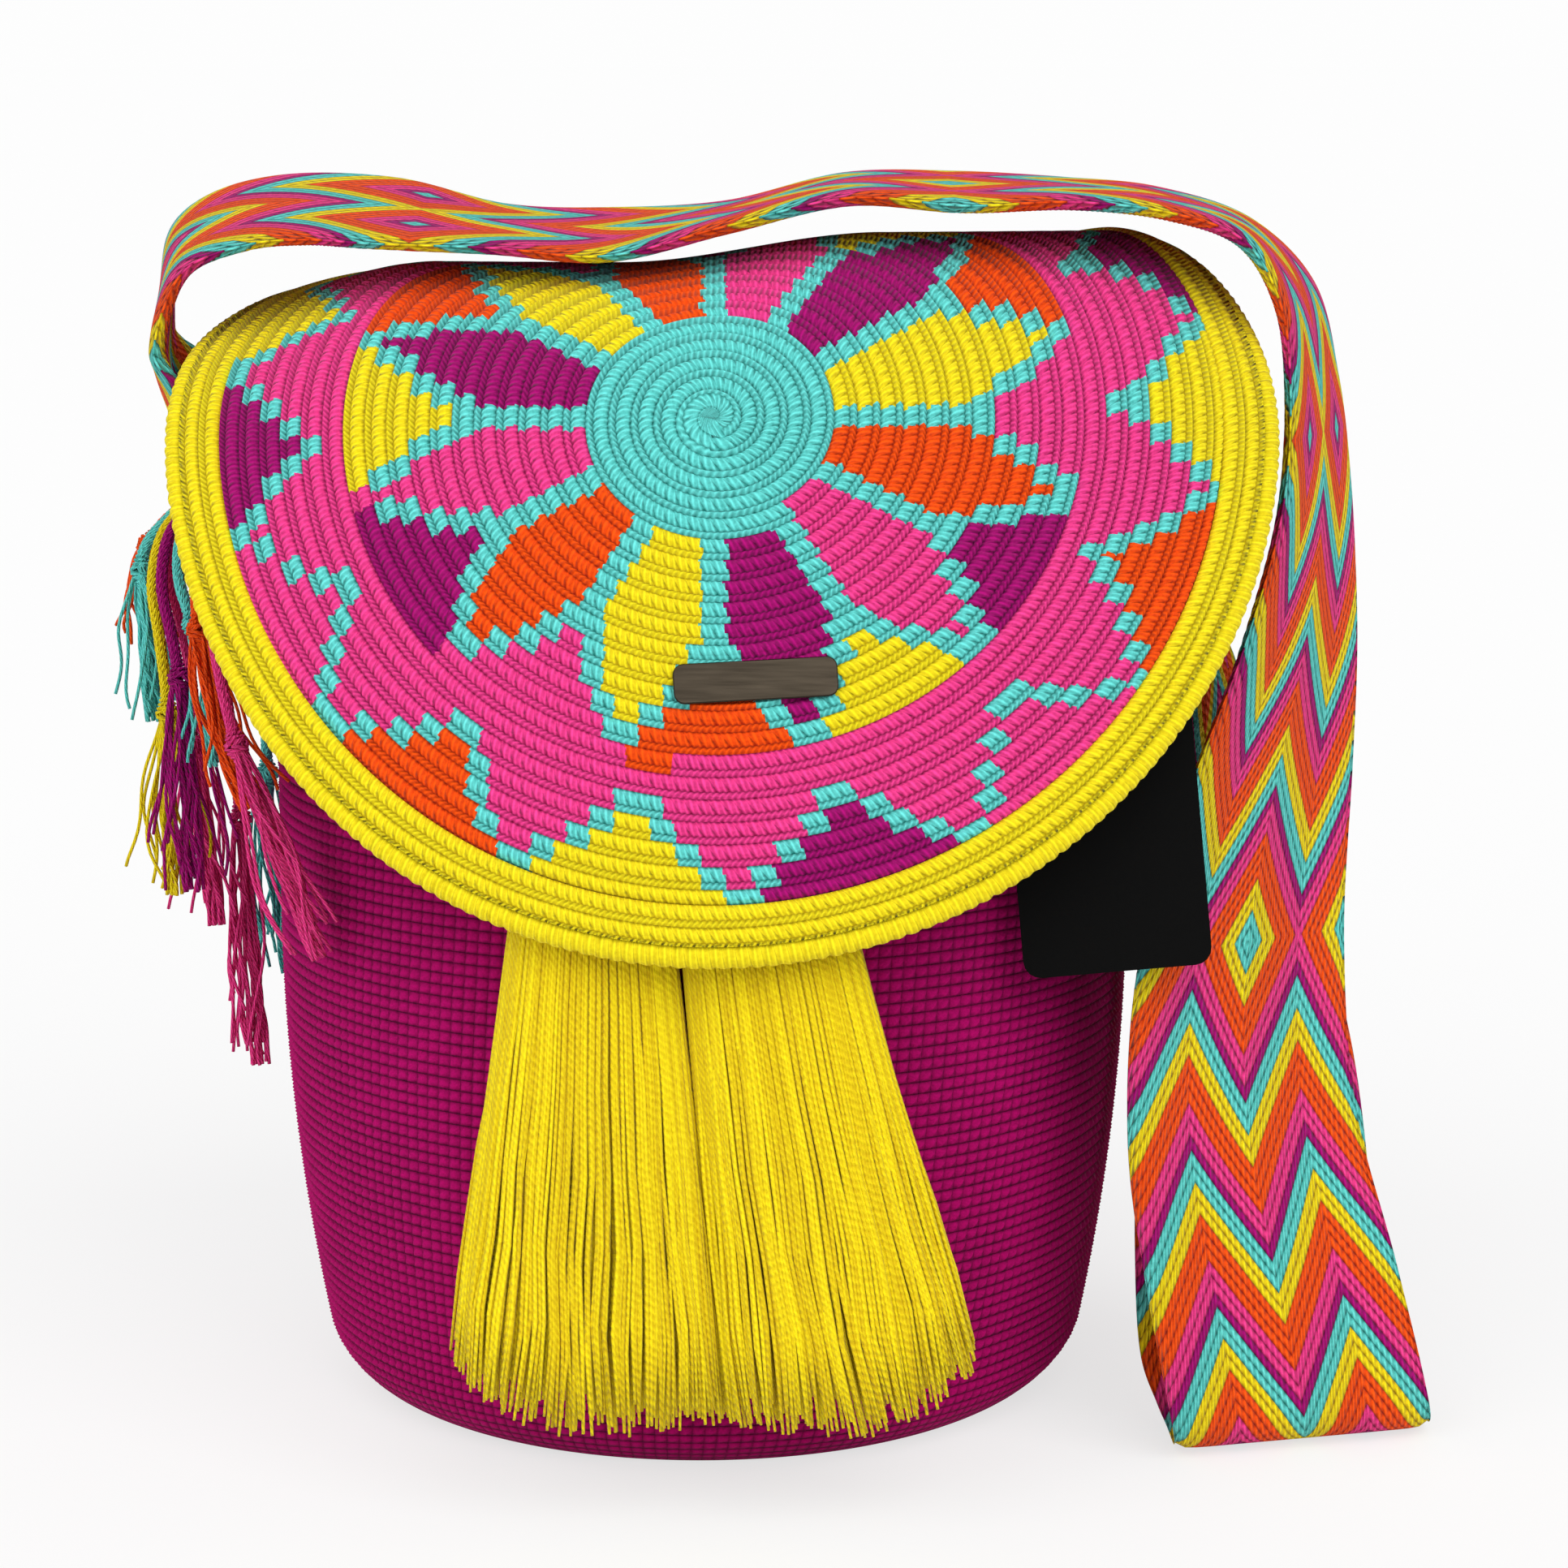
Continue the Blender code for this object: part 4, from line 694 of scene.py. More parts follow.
def flap_spine(v):
    """Front-to-back line of the flap at arc length v from the centre of its rounds.

    Its lean from upright goes evenly from 12 degrees at the hem to 33 at the centre, on to level at the
    crest, and down to 116 behind.
    """
    fine = np.linspace(-FLAP_REACH["front"] - 0.01, FLAP_REACH["back"] + 0.01, 700)
    lean = np.interp(fine, [-FLAP_REACH["front"], 0.0, CREST_REACH, FLAP_REACH["back"]],
                     [12.0, 33.0, 90.0, 116.0])
    step = fine[1] - fine[0]
    y = np.cumsum(np.sin(np.radians(lean))) * step
    z = np.cumsum(np.cos(np.radians(lean))) * step
    y += FLAP_CENTRE[1] - np.interp(0.0, fine, y)
    z += FLAP_CENTRE[2] - np.interp(0.0, fine, z)
    return np.interp(v, fine, y), np.interp(v, fine, z)


def flap_point(u, v):
    """Point of the draped flap, u to the right and v up from the centre of its rounds."""
    y, z = flap_spine(v)
    turn = u / FLAP_WRAP_RADIUS
    x = FLAP_CENTRE[0] + FLAP_WRAP_RADIUS * np.sin(turn)
    y = y + FLAP_WRAP_RADIUS * (1 - np.cos(turn))
    over_top = ease(v, -0.03, 0.07)
    z = z - EDGE_DROP * over_top * ease(-u, 0.085, FLAP_REACH["left"])
    z = z - EDGE_DROP * over_top * ease(u, 0.120, FLAP_REACH["right"])
    z = z + 0.009 * ease(v, 0.0, CREST_REACH) * ease(-v, -FLAP_REACH["back"], -0.1) * ease(u, -0.03, 0.05)
    return np.stack([x, y, z], -1)


def drape(share, rounds, height):
    """Carries a place on the flat mat onto the draped cloth's outer side, at a height above it.

    The place is given by the share of a turn and the rounds from the centre.
    """
    turn = SPIRAL_START + share * TURN
    across = rounds * ROUND * np.cos(turn)
    along = rounds * ROUND * np.sin(turn)
    u = across * np.where(across < 0, FLAP_REACH["left"], FLAP_REACH["right"])
    v = along * np.where(along < 0, FLAP_REACH["front"], FLAP_REACH["back"])
    step = 1e-4
    outward = unit(np.cross(flap_point(u + step, v) - flap_point(u - step, v),
                            flap_point(u, v + step) - flap_point(u, v - step)))
    return flap_point(u, v) + outward * np.broadcast_to(height, np.shape(u))[..., None]


def stitches_in(number):
    """Stitches in a round, by its number: one a stitch width, to the nearest multiple of the step."""
    return STITCH_STEP * np.maximum(np.floor(STITCH_RATE * (number + 1.0) / STITCH_STEP + 0.5), 1.0)


def relief(share, spiral):
    """Height of the crochet: a band of leaning leaf-like stitches, then a thin rope, in each round.

    share is the share of a turn, and spiral the number of the round plus how far across it a place is.
    """
    number = np.floor(spiral + 1e-9)
    across = spiral - number
    along = share * stitches_in(number)
    band = np.clip(across / LEAF_SHARE, 0.0, 1.0)
    stitch = np.abs(np.sin(math.pi * (along - STITCH_LEAN * (band - 0.5)))) ** 0.6
    leaf = np.sin(math.pi * band) ** 0.6 * (0.50 + 0.50 * stitch)
    cord = np.sin(math.pi * np.clip((across - LEAF_SHARE) / (1 - LEAF_SHARE), 0.0, 1.0))
    grown = 0.0018 * leaf + 0.0019 * cord
    return np.where(number + share < 0.9, np.maximum(grown, 0.0016), grown)


# The star's edges in rounds out from the centre, its colours read round from the right, and the
# directions of the outer triangles' tips in degrees
DISC_EDGE = 5.5
PETALS_NARROW = 10.4
PETAL_TIPS = 16.0
STAR_EDGE = 16.4
RING_EDGE = 18.0
TRIANGLE_HALF = 12.85
TURQUOISE, PURPLE, YELLOW, ORANGE, PINK = range(5)
PETALS = np.array([YELLOW, PURPLE, PINK, ORANGE] * 3)
BETWEEN = np.array([PINK, ORANGE, YELLOW, PURPLE] * 3)
APEXES = np.array([2.0, 27, 52, 78, 109, 134, 159.5, 184.8, 208, 234, 260, 286, 312, 337])
OUTER = np.array([YELLOW, PURPLE, PINK, ORANGE, PINK, ORANGE] + [YELLOW, PURPLE, PINK, ORANGE] * 2)


def pattern(share, spiral):
    """Number of the yarn colour at each stitch: 0 turquoise, 1 purple, 2 yellow, 3 orange, 4 pink.

    A turquoise disc of 5.5 rounds. Twelve petals to 16 rounds, each the whole of its 30 degrees up to
    10.4 rounds and narrowing from there, with one-cell turquoise outlines. Triangles between them on a
    base at 16.4 rounds. A pink ring to 18 rounds. Fourteen triangles that open from there to 22.6
    rounds, with one-cell turquoise outlines, on pink.
    """
    number = np.floor(spiral)
    stitches = stitches_in(number)
    lean = COLOUR_LEAN * (np.clip((spiral - number) / LEAF_SHARE, 0.0, 1.0) - 0.5)
    stitch = np.clip(np.floor(share * stitches - lean), 0, stitches - 1)
    middle = (stitch + 0.5) / stitches * 360.0 + math.degrees(SPIRAL_START)
    out = number + 0.5 + share
    cell = 360.0 / stitches
    spoke = np.mod(np.round(middle / 30.0), 12).astype(int)
    petal = np.mod(np.floor(middle / 30.0), 12).astype(int)
    off_middle = np.abs(np.mod(middle, 30.0) - 15.0)
    half = 15.0 * np.clip((PETAL_TIPS - out) / (PETAL_TIPS - PETALS_NARROW), 0.0, 1.0)
    in_petal = (out >= DISC_EDGE) & (off_middle < half - cell)
    on_line = (out >= DISC_EDGE) & (np.abs(off_middle - half) <= cell)
    between_them = (off_middle > half + cell) & (out >= PETALS_NARROW)
    colour = np.where(out < DISC_EDGE, TURQUOISE, PINK)
    colour = np.where((out < STAR_EDGE) & between_them, BETWEEN[spoke], colour)
    colour = np.where(in_petal & (out < STAR_EDGE), PETALS[petal], colour)
    colour = np.where(on_line & (out < STAR_EDGE - 0.2), TURQUOISE, colour)
    nearest = np.argmin(np.abs(np.mod(middle[:, None] - APEXES[None] + 180.0, 360.0) - 180.0), axis=1)
    off = np.abs(np.mod(middle - APEXES[nearest] + 180.0, 360.0) - 180.0)
    opening = TRIANGLE_HALF * np.clip((out - RING_EDGE) / (FIELD_ROUNDS - RING_EDGE), 0.0, 1.0)
    colour = np.where((out >= RING_EDGE) & (off < opening), OUTER[nearest], colour)
    return np.where((out >= RING_EDGE - 0.4) & (np.abs(off - opening) <= cell), TURQUOISE, colour)


def crochet_yarn(name, dark, light):
    """Cotton crochet: fine plies that lean along each leaf stitch and turn round each rope line. The colour
    has painted shade in the ply grooves, between the leaf stitches and in the valleys beside each rope
    line, over the fibres' random tone.
    """
    made, tree, shader = new_material(name)
    turn, spiral = stitch_map(tree)
    number = add(tree, "FLOOR", spiral)
    band = add(tree, "SUBTRACT", spiral, number)
    steps = add(tree, "MULTIPLY_ADD", add(tree, "ADD", number, 1.0), STITCH_RATE / STITCH_STEP, 0.5)
    stitches = add(tree, "MULTIPLY", add(tree, "FLOOR", steps), STITCH_STEP)
    along = add(tree, "MULTIPLY", turn, stitches)
    lean = add(tree, "MULTIPLY_ADD", band, STITCH_LEAN / LEAF_SHARE, -STITCH_LEAN / 2)
    leaf = add(tree, "SUBTRACT", along, lean)
    in_rope = add(tree, "GREATER_THAN", band, LEAF_SHARE)
    marks = {2: ply_marks(tree, leaf, 2 * TURN, band, 9.0), 3: ply_marks(tree, along, 2 * TURN, band, 14.0)}
    ply = fill(add(tree, "Mix FLOAT", in_rope), marks)
    edge = add(tree, "MAXIMUM", round_tops(tree, leaf, 0.5), in_rope)
    ends = add(tree, "MINIMUM", band, add(tree, "SUBTRACT", 1.0, band))
    valley = add(tree, "ABSOLUTE", add(tree, "SUBTRACT", band, LEAF_SHARE))
    valley = add(tree, "MULTIPLY", add(tree, "MINIMUM", valley, ends), 8.0)
    open_up = add(tree, "POWER", add(tree, "MINIMUM", valley, 1.0), 0.7)
    # lit: the fibres' random tone plus painted shade, darker in the ply grooves, between stitches and in the
    # valleys
    lit = add(tree, "MULTIPLY_ADD", fuzz(tree, 800.0), 0.8, -0.40)
    for part, share in ((ply, 0.22), (open_up, 0.50), (edge, 0.30)):
        lit = add(tree, "MULTIPLY_ADD", part, share, lit)
    height = add(tree, "MULTIPLY_ADD", ply, 0.4, add(tree, "MULTIPLY_ADD", open_up, 0.8, edge))
    finish(shader, lit, (dark, light), height, (0.8, 0.0007), COTTON)
    return made


FLAP_YARNS = [crochet_yarn(f"crocheted_{name}_cotton", dark, light) for name, dark, light in (
    ("turquoise", "00685f", "6ce0da"), ("plum", "3c0028", "ac0a72"), ("yellow", "b49400", "f7e51c"),
    ("orange", "941200", "ff560a"), ("pink", "7c0036", "fc4496"))]
ROWS_IN_ROUND = np.array([0.0, 0.17, 0.34, 0.51, 0.68, 0.84])


def flap_field():
    """Turns of the spiral from the centre out, six rings to a round, then back in below the cloth.

    The last turns go on under the border, where the relief dies away.
    """
    for start, end, count in ((0, 6, 225), (6, 12, 450), (12, 23, 900)):
        share = np.arange(count) / count
        for number in range(start, end):
            for across in ROWS_IN_ROUND:
                rounds = number + across + share
                height = relief(share, np.full(count, number + across)) + FLAP_CLOTH / 2
                height = height * (1 - 0.9 * ease(rounds, FIELD_ROUNDS - 0.1, FIELD_ROUNDS + 0.1))
                yield drape(share, rounds, height), number + across
    yield drape(share, 24.0, 0.0002), 23.9
    share = share[::4]
    for i, rounds in enumerate(np.concatenate([[24.0], np.arange(23.0, 0.2, -1.0), [0.05]])):
        drop = 0.0002 + (FLAP_CLOTH / 2 - 0.0002) * (1 - ease(rounds, FIELD_ROUNDS - 0.7, FIELD_ROUNDS + 0.3))
        yield drape(share, rounds, -drop + (0.0004 if i % 2 else 0.0)), rounds
    for across in ROWS_IN_ROUND:
        yield drape(np.zeros(1), 23 + across, 0.0006), 23 + across


field_mesh = skin("flap_field_crochet", flap_field(), hop=6, hopping=23 * 6)
field = piece("flap_field_crochet", field_mesh, FLAP_YARNS[TURQUOISE], "bag", ["flap"])
for yarn in FLAP_YARNS[1:]:
    field_mesh.materials.append(yarn)
corner_map = np.empty(len(field_mesh.loops) * 2, np.float32)
field_mesh.uv_layers["stitch"].data.foreach_get("uv", corner_map)
loop_start = np.empty(len(field_mesh.polygons), np.int32)
field_mesh.polygons.foreach_get("loop_start", loop_start)
corner_map = corner_map.reshape(-1, 2)
corners = np.diff(np.append(loop_start, len(corner_map)))
middle = np.add.reduceat(corner_map, loop_start, axis=0) / corners[:, None]
colour = pattern(middle[:, 0], middle[:, 1])
field_mesh.polygons.foreach_set("material_index", colour.astype(np.int32))


# Border of the flap: three fatter yellow rounds, finished with a chain of stitches along the rim
def flap_border():
    """Rings out over three swelling rounds, round the rim and back in below the cloth."""
    share = np.arange(900) / 900
    for spiral in np.concatenate([22 + ROWS_IN_ROUND, 23 + ROWS_IN_ROUND]):
        swell = 0.0012 * ease(spiral, 21.9, 22.8)
        height = FLAP_CLOTH / 2 + swell + relief(share, np.full(len(share), spiral)) * 0.95
        yield drape(share, FIELD_ROUNDS + spiral - 22, height), spiral
    half = 0.0042
    for angle in np.radians([150, 120, 90, 60, 30, 0, -30, -60, -90]):
        stitches = (SPIRAL_START + share * TURN) * 118
        braid = 0.80 + 0.20 * np.abs(np.sin(stitches + 1.1 * np.sign(np.sin(angle - 1.2)))) ** 0.6
        yield (drape(share, 24.80 + 0.62 * np.cos(angle) * braid, 0.0008 + half * np.sin(angle) * braid),
               24.1 + (math.radians(150) - angle) / math.radians(240) * 0.55)
    for rounds, drop in ((24.3, 0.0026), (23.6, 0.0024), (22.9, 0.0024), (22.6, 0.0010)):
        yield drape(share[::4], rounds, -drop), rounds


border_rings = list(flap_border())
closing = (border_rings[0][0][::4] - (0.0, 0.0, 0.0002), 22.0)
border_mesh = skin("flap_border_crochet", border_rings + [closing], open_ends=True)
border = piece("flap_border_crochet", border_mesh, FLAP_YARNS[YELLOW], "bag", [])


# Name plate
# A small pressed bar with a dark bronze mirror finish, sewn flat on the flap. Its face is smooth and bare,
# with the faint lengthwise marks of polishing.
plate_metal, tree, shader = new_material("polished_dark_bronze")
place = add(tree, "TexCoord").outputs["Object"]
rub = add(tree, "TexNoise", Vector=add(tree, "Mapping", Vector=place, Scale=(60.0, 900.0, 900.0)),
          Scale=1.0, Detail=4.0)
finish(shader, rub, ("1c1813", "3e372e"), rub, (0.05, 0.0002), {"Metallic": 1.0, "Roughness": 0.22})
frame["nodes"]["name_plate"].data.materials.clear()
frame["nodes"]["name_plate"].data.materials.append(plate_metal)


# Strap
# The real strap is a plaited band, 82 mm wide, of about 2.4 mm cords that run in zigzags: turquoise,
# yellow, orange, pink and purple in turn, turning back in diamonds. It is sewn to both ends of the mouth.
STRAP_WIDTH = 0.082
STRAP_THICKNESS = 0.0045
STRAP_SEWN_REACH = 0.042
STRAP_PERIOD = 0.048
STRAP_ZIGZAG = 0.036
STRAP_TURN_BACK = 0.161
STRAP_FIRST_DIAMOND = 0.311
STRAP_CORDS = 10.0
STRAP_RELIEF = 0.0013
STRAP_TWISTS = 58.0

# Front and back edge of the band at each station, x, y and z in millimetres, from the left end to the right
STRAP_STATIONS = np.array([
    (-158, -44, 285, -166, 35, 285), (-160, -43, 302, -168, 36, 302), (-162.5, -43.5, 320, -170, 35.5, 322),
    (-159, -47, 337, -169, 31, 343), (-150, -53, 351, -165, 24, 359), (-132, -57, 357.5, -152, 21, 369.5),
    (-115, -59, 359, -130, 20, 375), (-95, -59, 358, -96, 20, 374), (-60, -59, 356.8, -61, 20, 365.5),
    (-27, -59, 354.5, -27, 20, 364.5), (8, -59, 363, 8, 20, 366.5), (44, -59, 371.2, 44, 20, 375),
    (78, -59, 369, 78, 20, 375.5), (110, -59, 370, 112, 20, 373.5), (138, -57, 366.8, 141, 22, 370.5),
    (160, -54, 358.5, 170, 25, 361), (171.5, -50, 340, 190, 27, 342), (175.5, -47, 315, 198.5, 28, 313),
    (173, -56, 280, 202, 17, 279), (160, -74, 240, 202, -6, 238), (143, -88, 200, 199, -28, 198),
    (129, -97, 150, 194, -50, 148), (126.5, -102, 100, 197, -64, 98), (131, -103, 55, 210, -76, 54),
    (137.5, -103, 23, 217.5, -81, 23), (140, -101, 9, 221, -80, 9), (140.8, -93, 3.4, 222, -72, 3.4),
    (140.5, -76, 3.1, 221.5, -56, 3.1), (139.5, -60, 5, 219.5, -41, 5), (136, -50, 16, 214, -28, 16),
    (135, -42, 50, 210, -16, 50), (136, -39, 100, 205, 1, 100), (140, -42, 160, 190, 21, 160),
    (146, -46, 220, 168, 29, 220), (150, -48, 262, 152, 32, 262), (153, -48, 282, 153, 32, 282),
    (154, -48, 305, 154, 32, 305),
]) / 1000


def sewn_point(side, across, z, clear):
    """Where the band lies on the bag's end: across the section's narrow end, clear of the wall's gathers."""
    centre_x, centre_y, wide, deep, power = section(z)
    y = across * 0.90
    share = np.clip(np.abs(y) / deep, 0.0, 0.98)
    x = wide * (1 - share ** power) ** (1 / power)
    slope = -wide / deep * share ** (power - 1) * (1 - share ** power) ** (1 / power - 1) * np.sign(y)
    length = np.hypot(1.0, slope)
    tilt = RIM_TILT * y * ease(z, SHOULDER_HEIGHT, RIM_HEIGHT)
    return np.stack([centre_x + side * (x + clear / length), centre_y + y - clear * slope / length,
                     z + tilt], -1)


def strap_sheet(steps, lanes):
    """Middle surface of the band: a row of points across for each step along.

    The free run follows the stations. Near each end it blends onto the bag's narrow end.
    """
    lines = smooth_curve(STRAP_STATIONS, steps)
    centre = (lines[:, :3] + lines[:, 3:]) / 2
    across = unit(lines[:, 3:] - lines[:, :3])
    travelled = travel(centre)
    clear = GATHER_DEPTH - WALL / 2 + DRAWCORD_DIAMETER / 2 + STRAP_THICKNESS / 2 + 0.0012
    free = centre[:, None] + across[:, None] * lanes[:, None]
    spread = np.broadcast_to(lanes, free.shape[:2])
    left = sewn_point(-1, spread, free[:, :, 2], clear)
    right = sewn_point(1, spread, free[:, :, 2], clear)
    near_left = (1 - ease(travelled, 0.018, STRAP_SEWN_REACH))[:, None, None]
    near_right = ease(travelled, travelled[-1] - STRAP_SEWN_REACH, travelled[-1] - 0.018)[:, None, None]
    return free + near_left * (left - free) + near_right * (right - free), travelled


def zigzag(across):
    """Two zigzags across the width: 0 at the edges and the middle, 1 at a quarter and three quarters."""
    return 1.0 - np.abs(np.mod(across * 4.0, 2.0) - 1.0)


def from_diamond(along):
    """Distance along to the nearest row of diamonds, which lie every two turn-back lengths."""
    cycle = np.mod(along - STRAP_FIRST_DIAMOND, 2 * STRAP_TURN_BACK)
    return np.minimum(cycle, 2 * STRAP_TURN_BACK - cycle)


def strap_mesh():
    """Rings round the band's section: fine on its outer face, where the cords stand in relief."""
    steps, fine, coarse = 720, 96, 24
    lanes = np.linspace(-STRAP_WIDTH / 2, STRAP_WIDTH / 2, fine + 1)
    sheet, travelled = strap_sheet(steps, lanes)
    normal = unit(np.cross(np.gradient(sheet, axis=1), np.gradient(sheet, axis=0)))
    across = lanes / STRAP_WIDTH + 0.5
    cords = (from_diamond(travelled)[:, None] + STRAP_ZIGZAG * zigzag(across)) / STRAP_PERIOD * STRAP_CORDS
    lift = STRAP_RELIEF * np.abs(np.sin(math.pi * cords)) ** 0.7
    edge = np.sqrt(1 - np.abs(2 * across - 1) ** 14)
    half = STRAP_THICKNESS / 2 * edge
    outer = sheet + normal * (half - 0.0005 + lift * edge)[..., None]
    inner = sheet - normal * (half - 0.0002)[..., None]
    inner = inner[:, ::-(fine // coarse)]
    rings = np.concatenate([outer, inner], axis=1)
    places = np.concatenate([across, across[::-(fine // coarse)]])
    return rings, places, travelled


def ring_sheet(name, rings, places, heights):
    """Closed rings of one size. The map 'stitch' has a number for each place round and for each ring."""
    steps, count, _ = rings.shape
    i, j = np.meshgrid(np.arange(count), np.arange(steps - 1))
    k = (i + 1) % count
    faces = np.stack([j * count + i, j * count + k, (j + 1) * count + k, (j + 1) * count + i], -1)
    u = np.stack([places[i], places[k], places[k], places[i]], -1)
    v = np.stack([heights[j], heights[j], heights[j + 1], heights[j + 1]], -1)
    ends = np.stack([np.arange(count)[::-1], (steps - 1) * count + np.arange(count)])
    maps = [np.stack([u, v], -1), np.zeros((ends.size, 2))]
    return mesh_from(name, rings.reshape(-1, 3), [faces.reshape(-1, 4), ends], maps)


# Plaited cotton cords: five colours in a fixed order down the band, with painted shade in dark lines where
# two cords meet and a painted highlight along each cord's crest, and short slanted marks of the twist
# along each one, painted shade in its ply grooves. A dark and a light ramp of the colours are mixed by these.
strap_yarn, tree, shader = new_material("plaited_cotton_cords")
across, along = stitch_map(tree)
zig = add(tree, "PINGPONG", add(tree, "MULTIPLY", across, 4.0), 1.0)
distance = add(tree, "SUBTRACT", along, STRAP_FIRST_DIAMOND)
distance = add(tree, "PINGPONG", distance, STRAP_TURN_BACK)
level = add(tree, "DIVIDE", add(tree, "MULTIPLY_ADD", zig, STRAP_ZIGZAG, distance), STRAP_PERIOD)
cords = add(tree, "MULTIPLY", level, STRAP_CORDS)
ridge = round_tops(tree, cords, 0.6)
twist = ply_marks(tree, add(tree, "MULTIPLY", across, STRAP_TWISTS), TURN, cords, math.pi)
lit = add(tree, "MULTIPLY_ADD", twist, 0.22, add(tree, "MULTIPLY", fuzz(tree, 700.0), 0.8))
# ridge lightens each cord's crest as a painted highlight and leaves painted shade where two cords meet
lit = add(tree, "MULTIPLY_ADD", ridge, 0.70, add(tree, "SUBTRACT", lit, 0.33))
ramps = []
for shade in (0, 1):
    ramp = add(tree, "ValToRGB", add(tree, "FRACT", level))
    ramp.color_ramp.interpolation = "CONSTANT"
    for i, (start, name) in enumerate(((0.0, "turquoise"), (0.2, "yellow"), (0.4, "orange"), (0.7, "pink"),
                                       (0.9, "purple"))):
        stop = ramp.color_ramp.elements[i] if i < 2 else ramp.color_ramp.elements.new(start)
        stop.position = start
        stop.color = linear(YARNS[name][shade])
    ramps.append(ramp)
finish(shader, lit, ramps, add(tree, "MULTIPLY_ADD", twist, 0.30, ridge), (0.9, 0.0011),
       {**COTTON, "Roughness": 0.82})

rings, places, travelled = strap_mesh()
strap = piece("strap_plaited", ring_sheet("strap_plaited", rings, places, travelled), strap_yarn, "bag",
              ["strap"])


# Fringe
# Where the strap ends on the left, its cords go on as loose twisted cords in the five colours. Each has an
# overhand knot, and below the knot its yarns hang apart.
SEAT = 0.0003
FRINGE_CORD_DIAMETER = 0.0036
FRINGE_KNOT_DIAMETER = 0.0078
FRINGE_BRUSH_DIAMETER = 0.0085

# Each cord's colour, place across the strap, share of its length above the knot, and line, in millimetres
FRINGE = [
    ("pink", -34, 0.55, [(-147, -52, 262), (-142, -66, 232), (-134, -76, 205),
                         (-123, -82, 178), (-112, -84, 150)]),
    ("orange", -26, 0.45, [(-152, -40, 262), (-150, -50, 240), (-144, -58, 215), (-134, -66, 192)]),
    ("turquoise", -17, 0.52, [(-159, -32, 262), (-154.5, -38, 246), (-150, -40, 234), (-149, -40, 200)]),
    ("purple", -8, 0.5, [(-165, -22, 262), (-162, -28, 240), (-159, -32, 226),
                         (-157, -34, 195), (-156, -34, 160)]),
    ("yellow", 0, 0.58, [(-169, -10, 262), (-168, -14, 240), (-165, -18, 214),
                         (-165, -20, 185), (-164, -20, 156)]),
    ("turquoise", 8, 0.45, [(-173.5, 2, 262), (-174, -2, 248), (-173.5, -4, 235), (-171, -4, 208)]),
    ("orange", 16, 0.5, [(-174, 12, 262), (-175.5, 11, 245), (-174, 11, 228)]),
    ("pink", 24, 0.6, [(-169, 22, 258), (-164, 20, 225), (-160, 14, 185), (-156, 8, 140)]),
    ("pink", 32, 0.6, [(-160, 32, 255), (-154, 30, 215), (-149, 26, 165), (-144, 18, 92)]),
    ("turquoise", 39.5, 0.62, [(-150, 42, 255), (-144, 46, 215), (-142, 42, 165), (-136, 38, 118)]),
]


def clear_of_bag(points, reach):
    """Moves points outward where they come nearer than reach to the bag's face."""
    centre_x, centre_y, wide, deep, power = section(points[:, 2])
    dx = points[:, 0] - centre_x
    dy = points[:, 1] - centre_y
    share = (np.abs(dx / wide) ** power + np.abs(dy / deep) ** power) ** (1 / power)
    scale = np.maximum(1.0, (1.0 + reach / (np.hypot(dx, dy) / share)) / share)
    return np.column_stack([centre_x + dx * scale, centre_y + dy * scale, points[:, 2]])


def fringe_cord(line, knot, rng):
    """Lines of one cord's 16 yarns: twisted round each other to the knot, wound in it, then hanging close.

    Above the knot each yarn circles the cord's middle once every 11 mm. In the knot it swings out to the
    knot's size. Below, it drifts and waves a little, and ends up to 12 mm short.
    """
    along = np.linspace(0.0, 1.0, len(line))
    run = along * length_of(line)
    yarns = np.arange(16)
    outer = yarns < 10
    start = np.where(outer, yarns * TURN / 10 + 0.35 * (yarns % 2), yarns * TURN / 6)
    below = ease(along, knot + 0.02, min(knot + 0.35, 1.0))
    bulge = np.exp(-((run - knot * run[-1]) / 0.0034) ** 2)
    reach = (FRINGE_CORD_DIAMETER / 2 - 0.00045) * np.where(outer, 1.0, 0.45)[:, None]
    reach = reach + (FRINGE_KNOT_DIAMETER - FRINGE_CORD_DIAMETER) / 2 * bulge
    reach = reach + 0.0021 * below * rng.uniform(0.1, 0.9, len(yarns))[:, None]
    spin = np.where(along < knot, run, knot * run[-1]) / 0.011 * TURN + 5.0 * bulge
    wave = np.sin(run * 160 + rng.uniform(0, 6, len(yarns))[:, None])
    turn = start[:, None] + spin + below * (rng.normal(0.0, 0.5, len(yarns))[:, None] + 0.7 * wave)
    short = np.where(yarns % 2 == 0, 0.0, rng.uniform(0.0, 0.012, len(yarns)) / run[-1])
    stretch = along * (1 - short[:, None] * ease(along, knot, 1.0))
    return read_line(stretch, along, line) + reach[..., None] * around(across_frames(line), turn)


